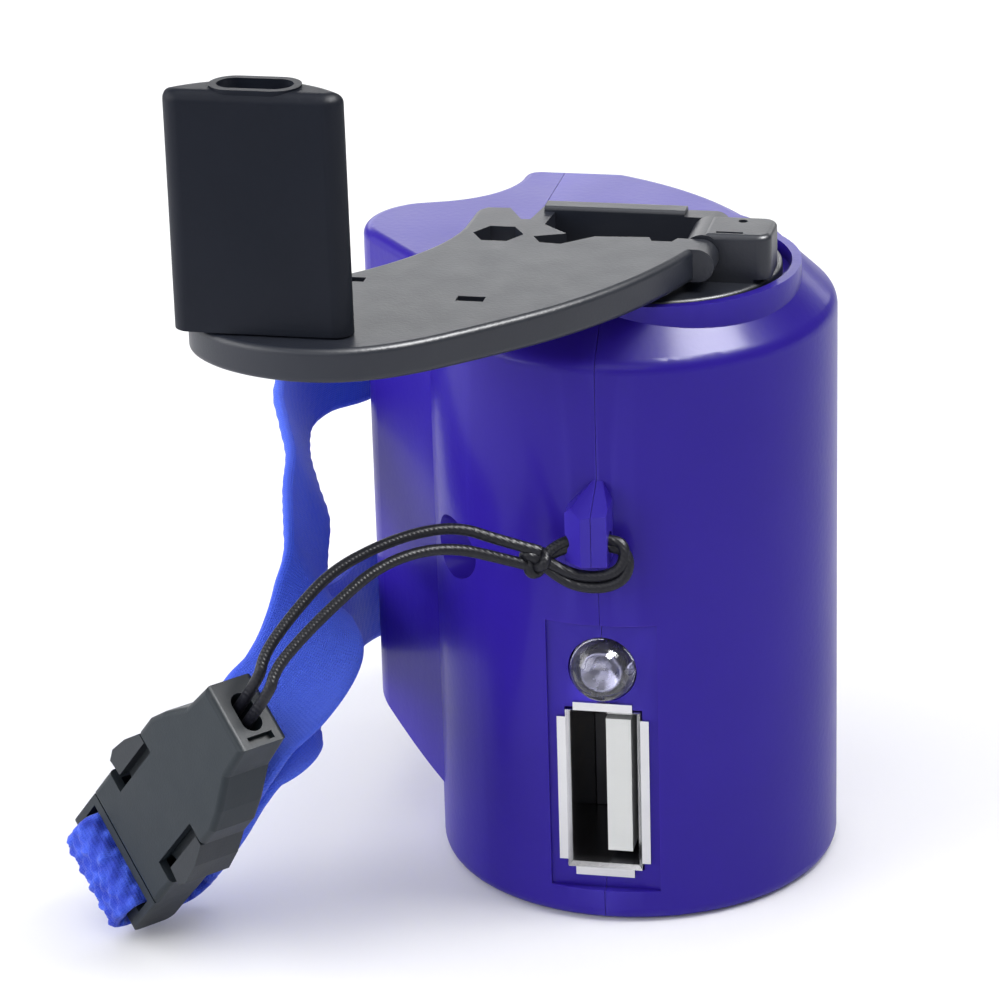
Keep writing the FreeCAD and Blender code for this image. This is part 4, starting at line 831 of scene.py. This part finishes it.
# ------------------------------------------------------------------ strap
@dataclass
class Strap:
    """The webbing: round the plug's bar, out in a loop behind the case, and back to its seam.

    Attributes:
        shop: Where its finish comes from.
        wide: Width of the webbing.
        thick: Thickness of the webbing.
        length: Real length of the webbing, in metres; not used.
        start: How far along, out of and across the buckle its first points are.
        loop: Points of the free loop, each with the direction across the webbing.
        end: As start, for its last points, on the seam.
        fine_steps: Fine steps between two points.
        station: Distance between two cross-sections.
        path_step: Cross-sections between two points of the declared path; not used.
        cells: Cells across the webbing.
        selvedge: Angles of the points round each rounded edge.
        rib: Width of a rib of the weave.
        float_long: Length of a float, from one to the next.
        woven: Height of the floats.
        knotted: Height of the floats where the threads stand up.
    """

    shop: MaterialShop
    wide: float = 8.0
    thick: float = 0.9
    length: float = 0.190
    start: Points = (
        (5.0, -4.95, 0), (2.0, -4.95, 0), (-0.95, -4.95, 0), (-1.66, -4.66, 0), (-1.95, -3.95, 0),
        (-1.95, -2.1, 0), (-1.95, -0.45, 0), (-2.24, 0.26, 0), (-2.95, 0.55, 0), (-3.9, 0.55, 0),
        (-4.8, 0.55, 0), (-5.51, 0.26, 0), (-5.8, -0.45, 0), (-5.8, -3.0, 0), (-5.8, -5.45, 0),
        (-5.24, -6.79, 0), (-3.9, -7.35, 0), (0.0, -7.35, 0), (4.0, -7.35, -0.2), (8.0, -7.45, -0.7),
        (9.6, -8.1, -1.1))
    loop: tuple[tuple[Place, Place], ...] = (
        ((-24.5, -19.6, 16.3), (0.5, -0.4, -0.75)), ((-23.5, -17.4, 17.2), (0.4, -0.35, -0.85)),
        ((-23.5, -12.5, 17.9), (0.15, -0.2, -0.95)), ((-24.1, -5.5, 17.7), (0, 0, -1)),
        ((-24.2, 0.0, 16.3), (0, 0, -1)), ((-24.3, 5.0, 15.5), (0, 0, -1)), ((-24.1, 10.0, 14.6), (0, 0, -1)),
        ((-22.5, 15.0, 14.1), (0.1, 0.1, -1)), ((-19.0, 19.3, 14.3), (0, 0.35, -0.93)),
        ((-14.0, 22.4, 15.0), (-0.1, 0.6, -0.8)), ((-8.4, 24.3, 16.3), (-0.1, 0.9, -0.45)),
        ((-3.6, 25.1, 18.9), (0, 1, -0.1)), ((-1.7, 25.4, 23.0), (0, 1, 0)), ((-3.0, 25.2, 27.6), (0, 1, 0)),
        ((-7.4, 24.5, 31.6), (0, 0.95, -0.3)), ((-13.0, 22.6, 33.9), (-0.1, 0.8, -0.6)),
        ((-18.2, 19.2, 34.9), (0, 0.5, -0.87)), ((-21.8, 14.9, 35.2), (0, 0.2, -0.98)),
        ((-23.9, 10.6, 35.3), (0, 0, -1)), ((-26.3, 7.4, 35.2), (0.04, 0.15, -1)),
        ((-27.5, 4.4, 34.3), (0.07, 0.35, -0.93)), ((-27.4, 1.4, 32.9), (0.15, 0.40, -0.89)),
        ((-26.2, -1.4, 31.3), (0.2, 0.35, -0.9)), ((-24.9, -4.2, 29.7), (0.25, 0.3, -0.9)),
        ((-24.3, -7.4, 28.0), (0.27, 0.25, -0.92)), ((-23.4, -11.0, 26.5), (0.3, 0.15, -0.92)),
        ((-21.9, -14.6, 24.9), (0.6, 0.0, -0.75)), ((-21.4, -17.9, 22.8), (0.75, -0.2, -0.6)))
    end: Points = (
        (15.0, -9.9, -2.7), (13.2, -7.9, -2.0), (11.0, -6.9, -1.3), (8.0, -6.2, -0.6), (4.5, -6.15, -0.1),
        (0.4, -6.15, 0))
    fine_steps: int = 24
    station: float = 0.2
    path_step: int = 4
    cells: int = 32
    selvedge: tuple[float, ...] = (0.9, 1.57, 2.24)
    rib: float = 0.8
    float_long: float = 1.15
    woven: float = 0.03
    knotted: float = 0.16

    def build(self) -> None:
        rows = self._rows()
        strap = self._ribbon(rows)
        self.shop.dress(strap, STRAP_BLUE)
        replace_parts(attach(strap, CASE_BODY), "strap")

    def _rows(self) -> list[tuple[float, ...]]:
        """Even stations along the webbing.

        Returns:
            The middle of each and the direction across it, as six numbers.
        """
        across = tuple(BUCKLE.across)
        knots = [(*BUCKLE.point(*place), *across) for place in self.start]
        knots += [(*middle, *turned) for middle, turned in self.loop]
        knots += [(*BUCKLE.point(*place), *across) for place in self.end]
        fine = smooth_points(knots, self.fine_steps)
        found, carried = [fine[0]], 0.0
        for before, here in zip(fine, fine[1:]):
            carried += math.dist(before[:3], here[:3])
            if carried >= self.station:
                found.append(here)
                carried = 0.0
        return found

    def _ribbon(self, rows: Points) -> bpy.types.Object:
        """Sweeps the woven section along the stations.

        Args:
            rows: The stations.

        Returns:
            The webbing, with its length and width as its UV map.
        """
        bm = bmesh.new()
        uv = bm.loops.layers.uv.new("UVMap")
        section = self._section()
        middles = [Vector(row[:3]) for row in rows]
        run = [0.0]
        for before, here in zip(middles, middles[1:]):
            run.append(run[-1] + (here - before).length)
        rings = []
        for i, (middle, row) in enumerate(zip(middles, rows)):
            along = (middles[min(i + 1, len(rows) - 1)] - middles[max(i - 1, 0)]).normalized()
            across = Vector(row[3:])
            across = (across - along * along.dot(across)).normalized()
            out = along.cross(across)
            rings.append([bm.verts.new((middle + across * x + out * (y + self._thread(run[i], x, y))) * MM)
                          for x, y in section])
        count = len(section)
        for i, (first, second) in enumerate(zip(rings, rings[1:])):
            for k in range(count):
                after = (k + 1) % count
                face = bm.faces.new((first[k], first[after], second[after], second[k]))
                corners = ((run[i], k), (run[i], after), (run[i + 1], after), (run[i + 1], k))
                for corner, (length, place) in zip(face.loops, corners):
                    corner[uv].uv = in_metres((length, section[place][0]))
        for ring in (rings[0], rings[-1]):
            bm.faces.new(ring)
        return mesh_object("woven_strap", bm)

    def _thread(self, run: float, x: float, y: float) -> float:
        """How far a thread stands out: each rib's floats lie half a float on from the last rib's.

        Args:
            run: Place along the webbing.
            x: Place across it.
            y: Place through it.

        Returns:
            The distance, outwards on either face.
        """
        rib = x / self.rib
        shift = math.pi * (math.floor(rib) % 2) + (math.pi / 2 if y < 0 else 0)
        float_up = 0.5 + 0.5 * math.cos(math.tau * run / self.float_long + shift)
        height = self.knotted if KNOTTED[0] < run < KNOTTED[1] else self.woven
        rise = height * (2 * float_up * math.sqrt(abs(math.sin(math.pi * rib))) - 1)
        return rise * max(-1.0, min(1.0, 2 * y / self.thick))

    def _section(self) -> list[Span]:
        """A flat oval with rounded selvedges.

        Returns:
            Its points, across and through the webbing.
        """
        thin = self.thick / 2
        flat = self.wide / 2 - thin
        places = [-flat + 2 * flat * k / self.cells for k in range(self.cells + 1)]
        found = [(x, thin) for x in places]
        found += [(flat + thin * math.sin(a), thin * math.cos(a)) for a in self.selvedge]
        found += [(x, -thin) for x in reversed(places)]
        found += [(-flat - thin * math.sin(a), -thin * math.cos(a)) for a in self.selvedge]
        return found


# ------------------------------------------------------------------ CAD nodes
@dataclass
class CadFinisher:
    """Gives every CAD node its finish.

    Attributes:
        shop: Where the finishes come from.
    """

    shop: MaterialShop
    frame: dict

    def build(self) -> None:
        """Dresses each node by its material slot, and the grip and the seam's thread by their own."""
        own = {"knob": GRIP_BLACK, "strap_stitches": THREAD_BLUE}
        slots = {entry["node"]: entry["material_slot"] for entry in self.frame["record"]["subparts"]}
        for name, piece in self.frame["nodes"].items():
            self.shop.dress(piece, own.get(name) or SLOT_FINISH[slots[name]])


def main() -> None:
    """Builds the whole scene."""
    logging.basicConfig(level=logging.INFO)
    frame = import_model()
    shop = MaterialShop()
    makers = (Viewpoint(), CadFinisher(shop, frame), Lanyard(shop, frame["nodes"]), LampInside(shop),
              Strap(shop), Studio(shop))
    for maker in makers:
        maker.build()
        LOG.info("built %s", type(maker).__name__)


if __name__ == "__main__":
    main()
